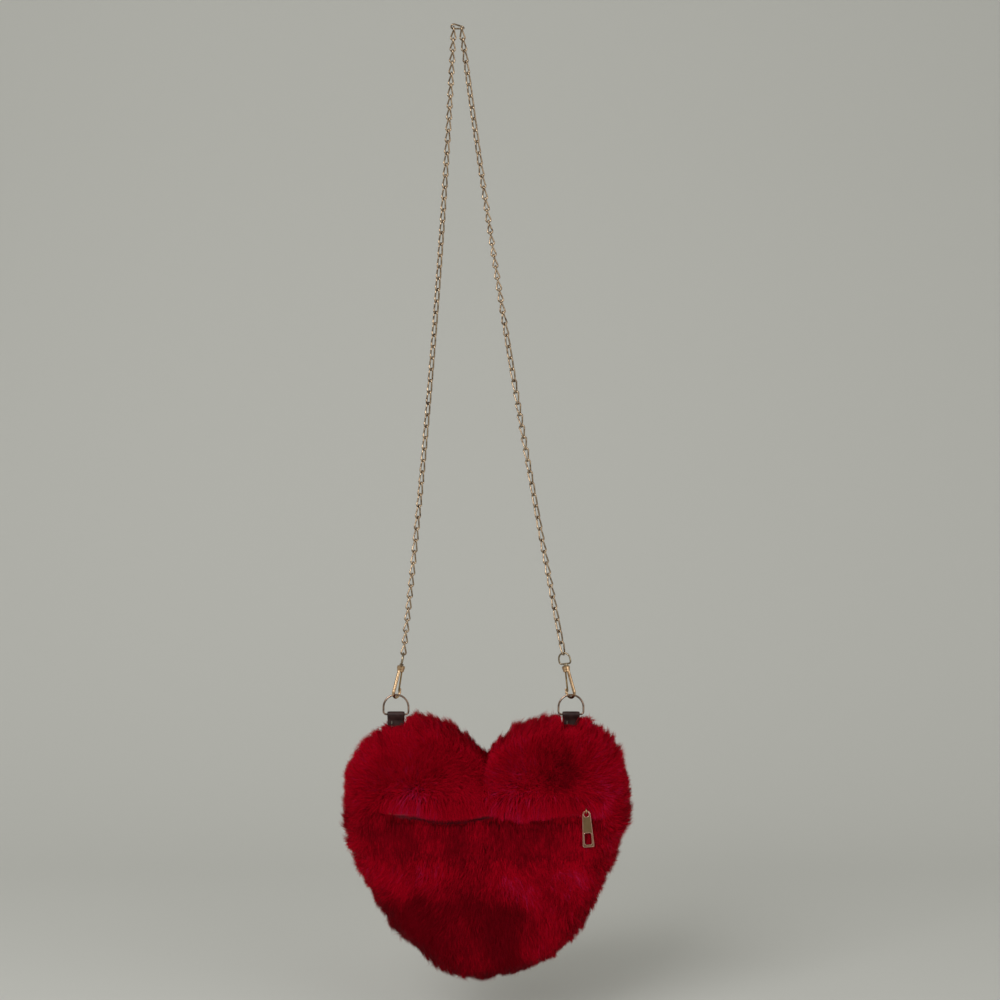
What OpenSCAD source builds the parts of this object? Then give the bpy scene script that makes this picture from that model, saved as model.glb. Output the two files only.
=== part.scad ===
// Heart shaped faux fur purse on a long chain strap, hung by its top chain link.
// Frame: origin where the nail carries the top link, +Z up, the zip side faces -Y, millimetres.

/* [Chain strap] */
// Thickness of the link wire
link_wire_d = 1.4; // [1:0.1:1.8]
// Centreline radius of a link's round ends
link_bend_r = 2; // [1.8:0.1:2.6]
// Distance from one link to the next along the chain
link_pitch = 9.28; // [8:0.02:12]
// Number of links in each half of the strap
links_per_side = 55; // [40:1:70]
// Play left between two linked wires
link_play = 0.1; // [0.06:0.01:0.2]
// Distance of the first links from the middle of the top link
first_link_x = 3; // [2.8:0.1:3.3]
// How far each half of the strap bows inwards by its own weight
strap_bow = 4; // [0:0.5:8]
// Number of links in the upper hinged stretch of each half
upper_links = 27; // [15:1:38]

/* [Swivel clasps] */
// Outer width of the swivel eye
eye_w = 11.4; // [10.4:0.2:13]
// Outer height of the swivel eye
eye_h = 10.2; // [9.8:0.2:12]
// Thickness of the swivel eye's wire
eye_wire_d = 1.4; // [1:0.1:1.6]
// Diameter of the swivel post
post_d = 2; // [1.6:0.1:2.2]
// Diameter of the hook's round top
hook_top_d = 6.4; // [6:0.1:7]
// Height of the hook's round top
hook_top_h = 5.2; // [5.2:0.2:7]
// Thickness of the hook's straight leg
hook_leg_d = 2.6; // [2.2:0.1:2.8]
// Thickness of the hook's round bottom
hook_rod_d = 2.2; // [2:0.1:2.4]
// Centreline radius of the hook's round bottom
hook_bend_r = 4.5; // [4.4:0.1:6]
// Distance from the top of the swivel ring to where the hook carries the D-ring
clasp_reach = 34.2; // [32:0.2:44]
// Diameter of the gate's rod
gate_d = 1.4; // [1:0.1:1.8]
// Diameter of the gate pin
gate_pin_d = 1; // [0.8:0.1:1.2]
// Lean of both clasps away from the vertical
clasp_lean = 10; // [6:0.5:14]
// Turn of the left hook about its post
left_hook_turn = -120; // [-130:1:-90]
// Turn of the right hook about its post
right_hook_turn = -48; // [-65:1:-48]

/* [D-rings and tabs] */
// Outer width of a D-ring
ring_w = 21.6; // [20:0.2:26]
// Outer height of a D-ring
ring_h = 17.2; // [16.4:0.2:22]
// Thickness of the D-ring wire
ring_wire_d = 1.6; // [1.3:0.1:1.7]
// Radius of the D-ring's two lower corners
ring_corner_r = 2.5; // [2:0.1:3]
// Distance of the left D-ring from the hang point, to the left
left_ring_x = 49.2; // [40:0.2:60]
// Distance of the right D-ring from the hang point, to the right
right_ring_x = 90.8; // [80:0.2:100]
// Width of the folded tabs
tab_w = 13.6; // [12:0.2:14.4]
// Thickness of the tab strap
tab_t = 1.2; // [1:0.1:1.4]
// Play between the tab fold and the D-ring bar
tab_play = 0.4; // [0.3:0.05:0.6]
// Distance from the D-ring's bar to the tab's lower end
tab_leg = 12; // [11:0.5:12.5]
// Length of one stitch on a tab
stitch_len = 2.4; // [1.8:0.1:2.6]
// Thickness of the stitching thread
stitch_d = 0.6; // [0.4:0.05:0.8]

/* [Fur heart] */
// Width of the heart across its lobes
heart_w = 228; // [200:1:260]
// Distance of the heart's middle from the hang point, to the right
heart_x = 23.4; // [15:0.2:30]
// Length of tab that stands above the fur
tab_show = 9.1; // [8:0.1:11]
// Thickness of the fur at the seam, pile and backing
fur_edge_t = 8; // [7:0.5:12]
// Depth of the flat front face, from the seam
front_depth = 29.6; // [29:0.2:36]
// Depth of the back face, from the seam
back_depth = 28; // [22:0.5:36]
// How full the cushion's sides are, as the depth it would reach uncut
front_fullness = 40; // [40:0.5:48]
// The same for the back
back_fullness = 32; // [30:0.5:44]

/* [Lining] */
// Thickness of the lining cloth
lining_t = 0.8; // [0.6:0.1:1.2]
// Gap between the lining and the fur backing
lining_gap = 0.3; // [0.25:0.05:0.5]
// Thickness of the tape bound round the inner seam
binding_t = 1; // [0.8:0.1:1.6]
// Width of that tape
binding_w = 5; // [3:0.5:6]

/* [Zip] */
// Length of the row of zip teeth
zip_len = 162; // [140:1:166]
// Distance of the closed slider from the hang point, to the right
slider_x = 101.2; // [96:0.2:106]
// Height of the zip above the heart's middle
zip_rise = 23.8; // [16:0.2:26]
// Depth of the zip tape from the seam
zip_depth = 26; // [25.8:0.1:26.1]
// Thickness of the zip tape
tape_t = 0.7; // [0.5:0.05:0.8]
// Width of one zip tape
tape_w = 12; // [9:0.5:14]
// Distance from one tooth to the next
tooth_pitch = 2.2; // [1.8:0.1:3]
// Length of a tooth, across the zip
tooth_len = 2.2; // [1.8:0.1:2.4]
// Thickness of the teeth, front to back
tooth_t = 1.6; // [1.4:0.05:1.7]
// Gap between the two rows of teeth
tooth_gap = 0.9; // [0.8:0.05:1.1]
// Height of the bare strip in the fur over the zip
groove_h = 11; // [10.6:0.2:14]

/* [Slider and puller] */
// Length of the slider
slider_len = 9; // [8:0.2:11]
// Height of the slider
slider_h = 8; // [7.6:0.1:8.6]
// Thickness of each slider plate
slider_plate_t = 1.1; // [0.9:0.05:1.2]
// Running clearance between the slider and the zip
slider_play = 0.3; // [0.25:0.05:0.35]
// Outer diameter of the slider's puller loop
bail_d = 4.6; // [4.4:0.1:5]
// Thickness of the puller loop's wire
bail_wire_d = 0.9; // [0.8:0.05:1]
// Length of the puller
puller_len = 28.8; // [26:0.2:34]
// Width of the puller at its round top
puller_top_w = 6.4; // [6:0.1:7]
// Width of the puller at its bottom
puller_bottom_w = 9.2; // [9:0.1:11]
// Thickness of the puller
puller_t = 1.1; // [0.9:0.05:1.2]
// Diameter of the puller's round eye
puller_eye_d = 3.8; // [3.7:0.1:4.2]
// Width of the puller's long slot
puller_slot_w = 5.4; // [4.6:0.1:6]
// Length of the puller's long slot
puller_slot_len = 9; // [8:0.1:10]
// Angle at which the puller hangs aside, in degrees
puller_lean = 4; // [0:0.5:6]

/* [Hidden] */
$fn = 48;
LEFT = -1;
RIGHT = 1;

// One overrun serves every cut.
overrun = 1;

// Chain. The two ends of a link are twisted a quarter turn apart, as in a curb chain.
link_twist = 45;
link_corner_swell = 0.03;
link_half = (link_pitch + link_play + link_wire_d) / 2;
link_leg_half = link_half - link_bend_r;
link_corner = link_bend_r * cos(link_twist);
hang_link_z = link_wire_d / 2 - link_corner;
first_wire_z = hang_link_z - link_corner;
first_contact_z = first_wire_z + (link_wire_d + link_play) / 2;
hang_link_turn = atan(link_corner / link_leg_half);
first_link_turn = 90 + link_twist;
left_end_turn = 135;
right_end_turn = 197;

// Each half of the strap runs from its first link to the top of its clasp.
clasp_dx = clasp_reach * sin(clasp_lean);
function ring_x(side) = side == LEFT ? -left_ring_x : right_ring_x;
function strand_end_x(side) = ring_x(side) - side * clasp_dx;
function strand_x(side, i) = let (t = i / links_per_side)
    side * first_link_x + (strand_end_x(side) - side * first_link_x) * t
    - side * 4 * strap_bow * t * (1 - t);
widest_step = (max(left_ring_x, right_ring_x) - clasp_dx - first_link_x + 4 * strap_bow) / links_per_side;
link_drop = sqrt(link_pitch * link_pitch - widest_step * widest_step);
function strand_z(i) = first_contact_z - i * link_drop;
function strand_turn(side, i) = let (t = i / links_per_side)
    first_link_turn + ((side == LEFT ? left_end_turn : right_end_turn) - first_link_turn) * t;
strand_end_z = strand_z(links_per_side);

// Clasp, measured down from the top of the swivel ring along its leaning axis.
eye_r = (eye_w - eye_wire_d) / 2;
eye_corner_r = 2;
eye_top = -(link_wire_d + link_play) / 2 + (link_wire_d - eye_wire_d) / 2;
eye_bar = eye_top + eye_h - eye_wire_d;
neck_d = 3.2;
neck_h = 0.6;
neck_bottom = eye_bar + eye_wire_d / 2 + neck_h;
swivel_play = 0.15;
post_play = 0.05;
hook_top = neck_bottom + swivel_play;
post_bore_len = 1.1;
post_head_d = 2.9;
post_head_h = 0.8;
post_head_play = 0.15;
knob_bevel = 0.7;
knob_groove = 0.35;
knob_h = 3;
hook_play = 0.3;
hook_rod_centre = clasp_reach + (hook_rod_d + hook_play) / 2;
hook_bend_centre = hook_rod_centre - hook_bend_r;
hook_top_end = hook_top + hook_top_h;
hook_leg_top_x = 1.9;
hook_leg_root = 1;
gate_slot_w = 1.7;
gate_slot_right = 0.1;
gate_slot_h = 2.2;
gate_pivot_x = -hook_top_d / 4;
gate_pivot_rise = 0.8;
gate_pivot_s = hook_top_end - gate_pivot_rise;
gate_pin_len = 2 * sqrt(pow(hook_top_d / 2 - knob_groove, 2) - pow(abs(gate_pivot_x) + gate_pin_d / 2, 2));
gate_hub_d = 2.3;
gate_hub_t = 0.9;
gate_hub_play = 0.08;
pin_play = 0.05;
gate_end_play = 0.15;
nose_d = 1.6;
nose_h = 2.2;
gate_overlap = 1.2;
gate_end_x = -hook_bend_r + nose_d / 2 + gate_end_play + gate_d / 2;
gate_end_s = hook_bend_centre - nose_h + gate_overlap;
spring_wire_d = 0.2;
spring_r = 0.78;
spring_turns = 1.5;
spring_step = 0.25;
spring_rings_per_turn = 10;
spring_sides = 6;

// D-ring and tab.
ring_r = (ring_w - ring_wire_d) / 2;
ring_contact_z = strand_end_z - clasp_reach * cos(clasp_lean);
ring_top_z = ring_contact_z + (ring_wire_d + hook_play) / 2;
ring_arc_z = ring_top_z - ring_r;
ring_bar_z = ring_top_z - (ring_h - ring_wire_d);
tab_fold_in_r = ring_wire_d / 2 + tab_play;
tab_fold_r = tab_fold_in_r + tab_t;
tab_neck = 4.6;
tab_neck_angle = asin(tab_fold_in_r / tab_neck);
tab_neck_low = (tab_fold_r - tab_t * cos(tab_neck_angle)) / sin(tab_neck_angle);
tab_top_z = ring_bar_z + tab_fold_r;
tab_bottom_z = ring_bar_z - tab_leg;
tab_slot_play = 0.2;
stitch_inset = 3.6;
stitch_gap = 1.2;
stitch_rows = 2;
stitch_first_drop = 0.4;
stitch_lift = 0.1;

// Heart outline, as shares of half the width, every 15 degrees from the cleft to the tip.
heart_shares = [0.54, 0.74, 0.93, 1.045, 1.075, 1.02, 0.965, 0.91, 0.885, 0.9, 0.925, 0.965, 0.985];
heart_step = 15;
heart_sides = 60;
ring_shares = [0.45, 0.88, 0.94, 0.975, 0.993, 1];
heart_roundness = 6;
heart_half = heart_w / 2;
lobe_height_share = 0.787;
heart_z = tab_top_z - tab_show - lobe_height_share * heart_half;

function clamped(i) = i < 0 ? -i : i > len(heart_shares) - 1 ? 2 * (len(heart_shares) - 1) - i : i;
function share_at(i) = i < 0 ? 2 * heart_shares[0] - heart_shares[1] : heart_shares[clamped(i)];
// Smooth curve through the shares: four neighbours weighted by the usual cubic.
function heart_share(a) = let (u = a / heart_step, i = floor(u), f = u - i,
        p0 = share_at(i - 1), p1 = share_at(i), p2 = share_at(i + 1), p3 = share_at(i + 2))
    p1 + f * (p2 - p0) / 2 + f * f * (p0 - 2.5 * p1 + 2 * p2 - p3 / 2)
    + f * f * f * (3 * (p1 - p2) + p3 - p0) / 2;
// Radius of the outline, pulled in by inset, in a direction counted from straight up.
function heart_radius(a, inset) = heart_half * heart_share(a > 180 ? 360 - a : a) - inset;
// Depth of the cushion at a share of that radius: full in the middle, square at the seam.
function cushion_depth(share, fullness, flat) =
    min(flat, fullness * sqrt(max(0, 1 - pow(share, heart_roundness))));
function cushion_point(side, inset, fullness, flat, share, a) =
    [share * heart_radius(a, inset) * sin(a), side * cushion_depth(share, fullness, flat),
     share * heart_radius(a, inset) * cos(a)];

// Zip.
front_in_depth = zip_depth + tape_t / 2 + lining_gap;
lining_flat = zip_depth - tape_t / 2 - lining_gap;
fur_in_fullness_drop = 2;
binding_gap = 0.7;
zip_z = heart_z + zip_rise;
stop_len = 2.6;
stop_h = 4.6;
stop_t = 2.2;
zip_right_x = slider_x + slider_len / 2 + stop_len;
zip_left_x = zip_right_x - zip_len;
tooth_bar = 0.7;
tooth_share = 0.55;
tape_edge = tooth_gap / 2 + tooth_len;
tape_tail = 4;
lining_slot_h = slider_h + 2;
zip_slot_end = 0.8;
slider_inside = tooth_t / 2 + slider_play;
slider_front_y = -zip_depth - slider_inside - slider_plate_t;
slider_corner_r = 2;
slider_rim_t = 0.9;
slider_rim_play = 0.25;
wedge_t = 0.5;
wedge_len = 2.4;
bail_r = (bail_d - bail_wire_d) / 2;
bail_sink = 0.3;
bail_y = slider_front_y - bail_d / 2 + bail_sink;
bail_rise = 1.4;
puller_rim = (puller_top_w - puller_eye_d) / 2;
puller_corner_r = 1.4;
puller_top = puller_rim / 2;
puller_low = puller_top - puller_len;
puller_eye_z = puller_top - puller_top_w / 2;
puller_taper = (puller_bottom_w - puller_top_w) / (puller_eye_z - puller_low);
puller_low_half = puller_bottom_w / 2 - puller_taper * puller_corner_r / 2;
puller_slot_margin = 2;
puller_slot_r = 1.4;

module rod(a, b, d) {
    v = b - a;
    translate(a) rotate([0, acos(v[2] / norm(v)), atan2(v[1], v[0])]) cylinder(h = norm(v), d = d);
}

module half_bend(r, d) {
    rotate([90, 0, 0]) rotate_extrude(angle = 180) translate([r, 0]) circle(d = d);
}

module link_corner_ball(turn, z) {
    rotate([0, 0, turn]) translate([link_bend_r, 0, z]) sphere(d = link_wire_d + link_corner_swell);
}

// One twisted link, upright, centred.
module chain_link() {
    translate([0, 0, link_leg_half]) rotate([0, 0, -link_twist]) half_bend(link_bend_r, link_wire_d);
    translate([0, 0, -link_leg_half]) rotate([0, 0, link_twist]) mirror([0, 0, 1])
        half_bend(link_bend_r, link_wire_d);
    for (side = [LEFT, RIGHT]) {
        rod([side * link_corner, side * link_corner, -link_leg_half],
            [side * link_corner, -side * link_corner, link_leg_half], link_wire_d);
        for (half = [0, 180]) link_corner_ball(side * link_twist + half, -side * link_leg_half);
    }
}

module strand(side, first, last) {
    color("#a08450") for (i = [first : last]) {
        x0 = strand_x(side, i);
        x1 = strand_x(side, i + 1);
        translate([(x0 + x1) / 2, 0, (strand_z(i) + strand_z(i + 1)) / 2])
            rotate([0, atan2(x0 - x1, link_drop), 0])
            rotate([0, 0, strand_turn(side, i + 0.5)]) chain_link();
    }
}

// The link that the nail carries lies across, turned so that its lower leg runs along X.
module hang_link() {
    color("#a08450") translate([0, 0, hang_link_z])
        rotate([0, 0, hang_link_turn]) rotate([0, 90, 0]) chain_link();
}
module chain_left_upper() { strand(LEFT, 0, upper_links - 1); }
module chain_left_lower() { strand(LEFT, upper_links, links_per_side - 1); }
module chain_right_upper() { strand(RIGHT, 0, upper_links - 1); }
module chain_right_lower() { strand(RIGHT, upper_links, links_per_side - 1); }

// Places its children at the top of a clasp, with -Z down the clasp's leaning axis.
module at_clasp(side) {
    translate([strand_end_x(side), 0, strand_end_z])
        rotate([0, -side * clasp_lean, 0]) children();
}

module at_hook(side) {
    at_clasp(side) rotate([0, 0, side == LEFT ? left_hook_turn : right_hook_turn]) children();
}

// A wire loop with a round top and a flat lower bar, its bar at height zero.
module d_loop(r, rise, corner_r, wire_d) {
    bar_half = r - corner_r;
    translate([0, 0, rise]) half_bend(r, wire_d);
    for (side = [LEFT, RIGHT]) {
        translate([side * r, 0, corner_r]) cylinder(h = rise - corner_r, d = wire_d);
        translate([side * bar_half, 0, corner_r]) rotate([90, 0, 0])
            rotate([0, 0, side == RIGHT ? -90 : 180])
            rotate_extrude(angle = 90) translate([corner_r, 0]) circle(d = wire_d);
    }
    translate([-bar_half, 0, 0]) rotate([0, 90, 0]) cylinder(h = 2 * bar_half, d = wire_d);
}

module swivel_eye(side) {
    turn = (side == LEFT ? left_end_turn : right_end_turn) + link_twist + 90;
    head_top = hook_top + post_bore_len + post_head_play;
    color("#b49a62") at_clasp(side) {
        translate([0, 0, -eye_bar]) rotate([0, 0, turn])
            d_loop(eye_r, eye_bar - eye_top - eye_r, eye_corner_r, eye_wire_d);
        translate([0, 0, -neck_bottom]) cylinder(h = neck_bottom - eye_bar, d = neck_d);
        translate([0, 0, -head_top - post_head_h]) cylinder(h = head_top + post_head_h - eye_bar, d = post_d);
        translate([0, 0, -head_top - post_head_h]) cylinder(h = post_head_h, d = post_head_d);
    }
}
module swivel_eye_left() { swivel_eye(LEFT); }
module swivel_eye_right() { swivel_eye(RIGHT); }

module hook_top_cavity() {
    translate([0, 0, -hook_top - post_bore_len - overrun])
        cylinder(h = post_bore_len + 2 * overrun, d = post_d + 2 * post_play);
    translate([0, 0, -hook_top - post_bore_len - post_head_h - 2 * post_head_play])
        cylinder(h = post_head_h + 2 * post_head_play, d = post_head_d + 2 * post_head_play);
}

// The round top: a bevelled knob with a plain sleeve under it.
module hook_knob() {
    r = hook_top_d / 2;
    rotate_extrude() polygon([
        [0, -hook_top], [r - knob_bevel, -hook_top], [r, -hook_top - knob_bevel],
        [r, -hook_top - knob_h + knob_groove], [r - knob_groove, -hook_top - knob_h],
        [r - knob_groove, -hook_top_end + knob_bevel], [r - knob_groove - knob_bevel, -hook_top_end],
        [0, -hook_top_end]
    ]);
}

module hook_body() {
    gate_slot_len = gate_slot_right + hook_top_d / 2 + overrun;
    gate_slot_middle = gate_slot_right - gate_slot_len / 2;
    difference() {
        union() {
            hook_knob();
            rod([hook_leg_top_x, 0, -hook_top_end + hook_leg_root],
                [hook_bend_r, 0, -hook_bend_centre], hook_leg_d);
        }
        hook_top_cavity();
        translate([gate_slot_middle, 0, -hook_top_end + (gate_slot_h - overrun) / 2])
            cube([gate_slot_len, gate_slot_w, gate_slot_h + overrun], center = true);
        translate([gate_pivot_x, 0, -gate_pivot_s]) rotate([90, 0, 0])
            cylinder(h = hook_top_d + 2 * overrun, d = gate_pin_d + 2 * pin_play, center = true);
    }
    translate([hook_bend_r, 0, -hook_bend_centre]) sphere(d = hook_leg_d + link_corner_swell);
    translate([0, 0, -hook_bend_centre]) mirror([0, 0, 1]) half_bend(hook_bend_r, hook_rod_d);
    translate([-hook_bend_r, 0, -hook_bend_centre]) cylinder(h = nose_h, d = nose_d);
    translate([-hook_bend_r, 0, -hook_bend_centre]) sphere(d = hook_rod_d + link_corner_swell);
    translate([-hook_bend_r, 0, -hook_bend_centre + nose_h]) sphere(d = nose_d + link_corner_swell);
}
module hook_left() { color("#b8955c") at_hook(LEFT) hook_body(); }
module hook_right() { color("#b8955c") at_hook(RIGHT) hook_body(); }

module gate_lever() {
    hub_y = (gate_slot_w - gate_hub_t) / 2 - gate_hub_play;
    difference() {
        union() {
            translate([gate_pivot_x, hub_y, -gate_pivot_s]) rotate([90, 0, 0])
                cylinder(h = gate_hub_t, d = gate_hub_d, center = true);
            rod([gate_pivot_x, hub_y, -gate_pivot_s], [gate_end_x, 0, -gate_end_s], gate_d);
        }
        translate([gate_pivot_x, 0, -gate_pivot_s]) rotate([90, 0, 0])
            cylinder(h = hook_top_d, d = gate_pin_d + 2 * pin_play, center = true);
        translate([gate_pivot_x, hub_y + (gate_hub_t + gate_d) / 2, -gate_pivot_s]) rotate([90, 0, 0])
            cylinder(h = gate_d, d = gate_hub_d, center = true);
        translate([gate_pivot_x, hub_y - (gate_hub_t + gate_d) / 2, -gate_pivot_s]) rotate([90, 0, 0])
            cylinder(h = gate_d, d = gate_hub_d, center = true);
    }
    translate([gate_end_x, 0, -gate_end_s]) sphere(d = gate_d + link_corner_swell);
}
module gate_left() { color("#8a6c42") at_hook(LEFT) gate_lever(); }
module gate_right() { color("#8a6c42") at_hook(RIGHT) gate_lever(); }

module gate_pin() {
    translate([gate_pivot_x, 0, -gate_pivot_s]) rotate([90, 0, 0])
        cylinder(h = gate_pin_len, d = gate_pin_d, center = true);
}
module gate_pin_left() { color("#6d5a3c") at_hook(LEFT) gate_pin(); }
module gate_pin_right() { color("#6d5a3c") at_hook(RIGHT) gate_pin(); }

// A tube through rings of points: each ring's sides, then the next ring's.
module swept_tube(rings) {
    sides = len(rings[0]);
    count = len(rings);
    polyhedron(
        points = [for (ring = rings) each ring],
        faces = [
            [for (s = [sides - 1 : -1 : 0]) s],
            for (k = [0 : count - 2]) for (s = [0 : sides - 1])
                [k * sides + s, k * sides + (s + 1) % sides,
                    (k + 1) * sides + (s + 1) % sides, (k + 1) * sides + s],
            [for (s = [0 : sides - 1]) (count - 1) * sides + s]
        ]
    );
}

module gate_spring() {
    steps = spring_turns * spring_rings_per_turn;
    start_y = -gate_slot_w / 2 + spring_wire_d / 2 + gate_hub_play;
    translate([gate_pivot_x, start_y, -gate_pivot_s]) swept_tube([
        for (k = [0 : steps])
            let (a = 360 * k / spring_rings_per_turn, y = spring_step * k / spring_rings_per_turn)
            [for (s = [0 : spring_sides - 1])
                let (b = -360 * s / spring_sides, r = spring_r + spring_wire_d / 2 * cos(b))
                [r * cos(a), y + spring_wire_d / 2 * sin(b), r * sin(a)]]
    ]);
}
module gate_spring_left() { color("#9a9a96") at_hook(LEFT) gate_spring(); }
module gate_spring_right() { color("#9a9a96") at_hook(RIGHT) gate_spring(); }

module d_ring(side) {
    color("#6b5442") translate([ring_x(side), 0, ring_bar_z])
        d_loop(ring_r, ring_arc_z - ring_bar_z, ring_corner_r, ring_wire_d);
}
module d_ring_left() { d_ring(LEFT); }
module d_ring_right() { d_ring(RIGHT); }

// The folded strap seen from its edge: the sides of the two layers, and the throat under the bar.
function tab_sides() = let (c = cos(tab_neck_angle), s = sin(tab_neck_angle))
    [[-tab_fold_r * c, -tab_fold_r * s], [0, 0], [tab_fold_r * c, -tab_fold_r * s],
     [tab_t, -tab_neck_low], [tab_t, -tab_leg], [-tab_t, -tab_leg], [-tab_t, -tab_neck_low]];
function tab_throat() = let (c = cos(tab_neck_angle), s = sin(tab_neck_angle))
    [[-tab_fold_in_r * c, -tab_fold_in_r * s], [0, 0], [tab_fold_in_r * c, -tab_fold_in_r * s], [0, -tab_neck]];

// A loop over the bar, closed where the layers meet.
module tab(side) {
    cut = tab_w + 2 * overrun;
    color("#2c211c") translate([ring_x(side), 0, ring_bar_z]) rotate([0, 0, 90]) rotate([90, 0, 0])
        difference() {
            union() {
                cylinder(h = tab_w, r = tab_fold_r, center = true);
                linear_extrude(tab_w, center = true) polygon(tab_sides());
            }
            cylinder(h = cut, r = tab_fold_in_r, center = true);
            linear_extrude(cut, center = true) polygon(tab_throat());
        }
}
module tab_left() { tab(LEFT); }
module tab_right() { tab(RIGHT); }

// Thread lying on the front of a tab, near its left edge, in short upright stitches.
module tab_stitching(side) {
    color("#c9bfae") translate([ring_x(side) - tab_w / 2 + stitch_inset,
        -tab_t - stitch_d / 2 - stitch_lift, ring_bar_z - tab_neck_low])
        for (k = [0 : stitch_rows - 1])
            translate([0, 0, -stitch_first_drop - k * (stitch_len + stitch_gap) - stitch_len])
                cylinder(h = stitch_len, d = stitch_d);
}
module tab_stitching_left() { tab_stitching(LEFT); }
module tab_stitching_right() { tab_stitching(RIGHT); }

// A closed half cushion: outer dome, inner dome and the flat ring between them at the seam.
module cushion_shell(side, inset, wall, fullness, flat, in_fullness, in_flat) {
    sides = heart_sides;
    rings = len(ring_shares);
    outer = [[0, side * min(flat, fullness), 0],
        for (share = ring_shares) for (j = [0 : sides - 1])
            cushion_point(side, inset, fullness, flat, share, 360 * j / sides)];
    inner = [[0, side * min(in_flat, in_fullness), 0],
        for (share = ring_shares) for (j = [0 : sides - 1])
            cushion_point(side, inset + wall, in_fullness, in_flat, share, 360 * j / sides)];
    n = 1 + rings * sides;
    function at(k, j) = 1 + (k - 1) * sides + j % sides;
    dome = [
        for (j = [0 : sides - 1]) [0, at(1, j), at(1, j + 1)],
        for (k = [1 : rings - 1]) for (j = [0 : sides - 1]) each [
            [at(k, j), at(k + 1, j), at(k + 1, j + 1)], [at(k, j), at(k + 1, j + 1), at(k, j + 1)]]
    ];
    rim = [for (j = [0 : sides - 1]) each [
        [at(rings, j), n + at(rings, j), n + at(rings, j + 1)],
        [at(rings, j), n + at(rings, j + 1), at(rings, j + 1)]]];
    faces = concat(dome, [for (f = dome) [f[0] + n, f[2] + n, f[1] + n]], rim);
    translate([heart_x, 0, heart_z])
        polyhedron(points = concat(outer, inner),
            faces = side > 0 ? [for (f = faces) [f[0], f[2], f[1]]] : faces);
}

// The slots that the tabs pass into, and the bare strip over the zip.
module tab_slots() {
    for (side = [LEFT, RIGHT])
        translate([ring_x(side), 0, (tab_bottom_z - tab_slot_play + tab_top_z) / 2])
            cube([tab_w + 2 * tab_slot_play, 2 * (tab_fold_r + tab_slot_play),
                tab_top_z - tab_bottom_z + tab_slot_play], center = true);
}

module zip_window(h) {
    translate([(zip_left_x + zip_right_x) / 2, -zip_depth, zip_z])
        cube([zip_len + 2 * zip_slot_end, zip_depth, h], center = true);
}

module front_fur() {
    color("#7b0011") difference() {
        cushion_shell(-1, 0, fur_edge_t, front_fullness, front_depth,
            front_fullness - fur_in_fullness_drop, front_in_depth);
        tab_slots();
        zip_window(groove_h);
    }
}
module back_fur() {
    color("#6e0010") difference() {
        cushion_shell(1, 0, fur_edge_t, back_fullness, back_depth,
            back_fullness - fur_in_fullness_drop, back_depth - fur_in_fullness_drop);
        tab_slots();
    }
}

module front_lining() {
    color("#3a0a10") difference() {
        cushion_shell(-1, fur_edge_t + lining_gap, lining_t,
            front_fullness - fur_in_fullness_drop - 2 * lining_gap, lining_flat,
            front_fullness - fur_in_fullness_drop - 2 * lining_gap - lining_t, lining_flat - lining_t);
        zip_window(lining_slot_h);
    }
}
module back_lining() {
    color("#3a0a10") cushion_shell(1, fur_edge_t + lining_gap, lining_t,
        back_fullness - fur_in_fullness_drop - 2 * lining_gap, back_depth - fur_in_fullness_drop - lining_gap,
        back_fullness - fur_in_fullness_drop - 2 * lining_gap - lining_t,
        back_depth - fur_in_fullness_drop - lining_gap - lining_t);
}

function heart_ring(inset) = [for (j = [0 : heart_sides - 1]) let (a = 360 * j / heart_sides)
    [heart_radius(a, inset) * sin(a), heart_radius(a, inset) * cos(a)]];

module seam_binding() {
    outer = fur_edge_t + 2 * lining_gap + lining_t + binding_gap;
    color("#4a0c14") translate([heart_x, 0, heart_z]) rotate([90, 0, 0])
        linear_extrude(binding_w, center = true) difference() {
            polygon(heart_ring(outer));
            polygon(heart_ring(outer + binding_t));
        }
}

module zip_tape(up) {
    middle_z = zip_z + up * (tape_edge + tape_w / 2);
    color("#5d0a14") translate([(zip_left_x + zip_right_x) / 2, -zip_depth, middle_z])
        cube([zip_len + 2 * tape_tail, tape_t, tape_w], center = true);
}
module zip_tape_upper() { zip_tape(1); }
module zip_tape_lower() { zip_tape(-1); }

// A row of teeth on a narrow bar, drawn as one comb seen from the front.
module zip_teeth(up) {
    first = zip_left_x + stop_len;
    count = floor((zip_len - 2 * stop_len - tooth_pitch) / tooth_pitch);
    tip = tooth_gap / 2;
    root = tape_edge - tooth_bar;
    shift = up > 0 ? 0 : tooth_pitch / 2;
    comb = [
        for (i = [0 : count - 1]) let (x = first + i * tooth_pitch + shift, w = tooth_pitch * tooth_share)
            each [[x, root], [x, tip], [x + w, tip], [x + w, root]]
    ];
    color("#4b0c14") translate([0, -zip_depth, zip_z]) mirror([0, 0, up > 0 ? 0 : 1]) rotate([90, 0, 0])
        linear_extrude(tooth_t, center = true) polygon(concat(comb, [
            [first + count * tooth_pitch + shift, root], [first + count * tooth_pitch + shift, tape_edge],
            [first + shift, tape_edge]]));
}
module zip_teeth_upper() { zip_teeth(1); }
module zip_teeth_lower() { zip_teeth(-1); }

module zip_stop(x) {
    color("#8c7448") translate([x, -zip_depth, zip_z]) cube([stop_len, stop_t, stop_h], center = true);
}
module zip_stop_closed() { zip_stop(zip_right_x - stop_len / 2); }
module zip_stop_open() { zip_stop(zip_left_x + stop_len / 2); }

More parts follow.
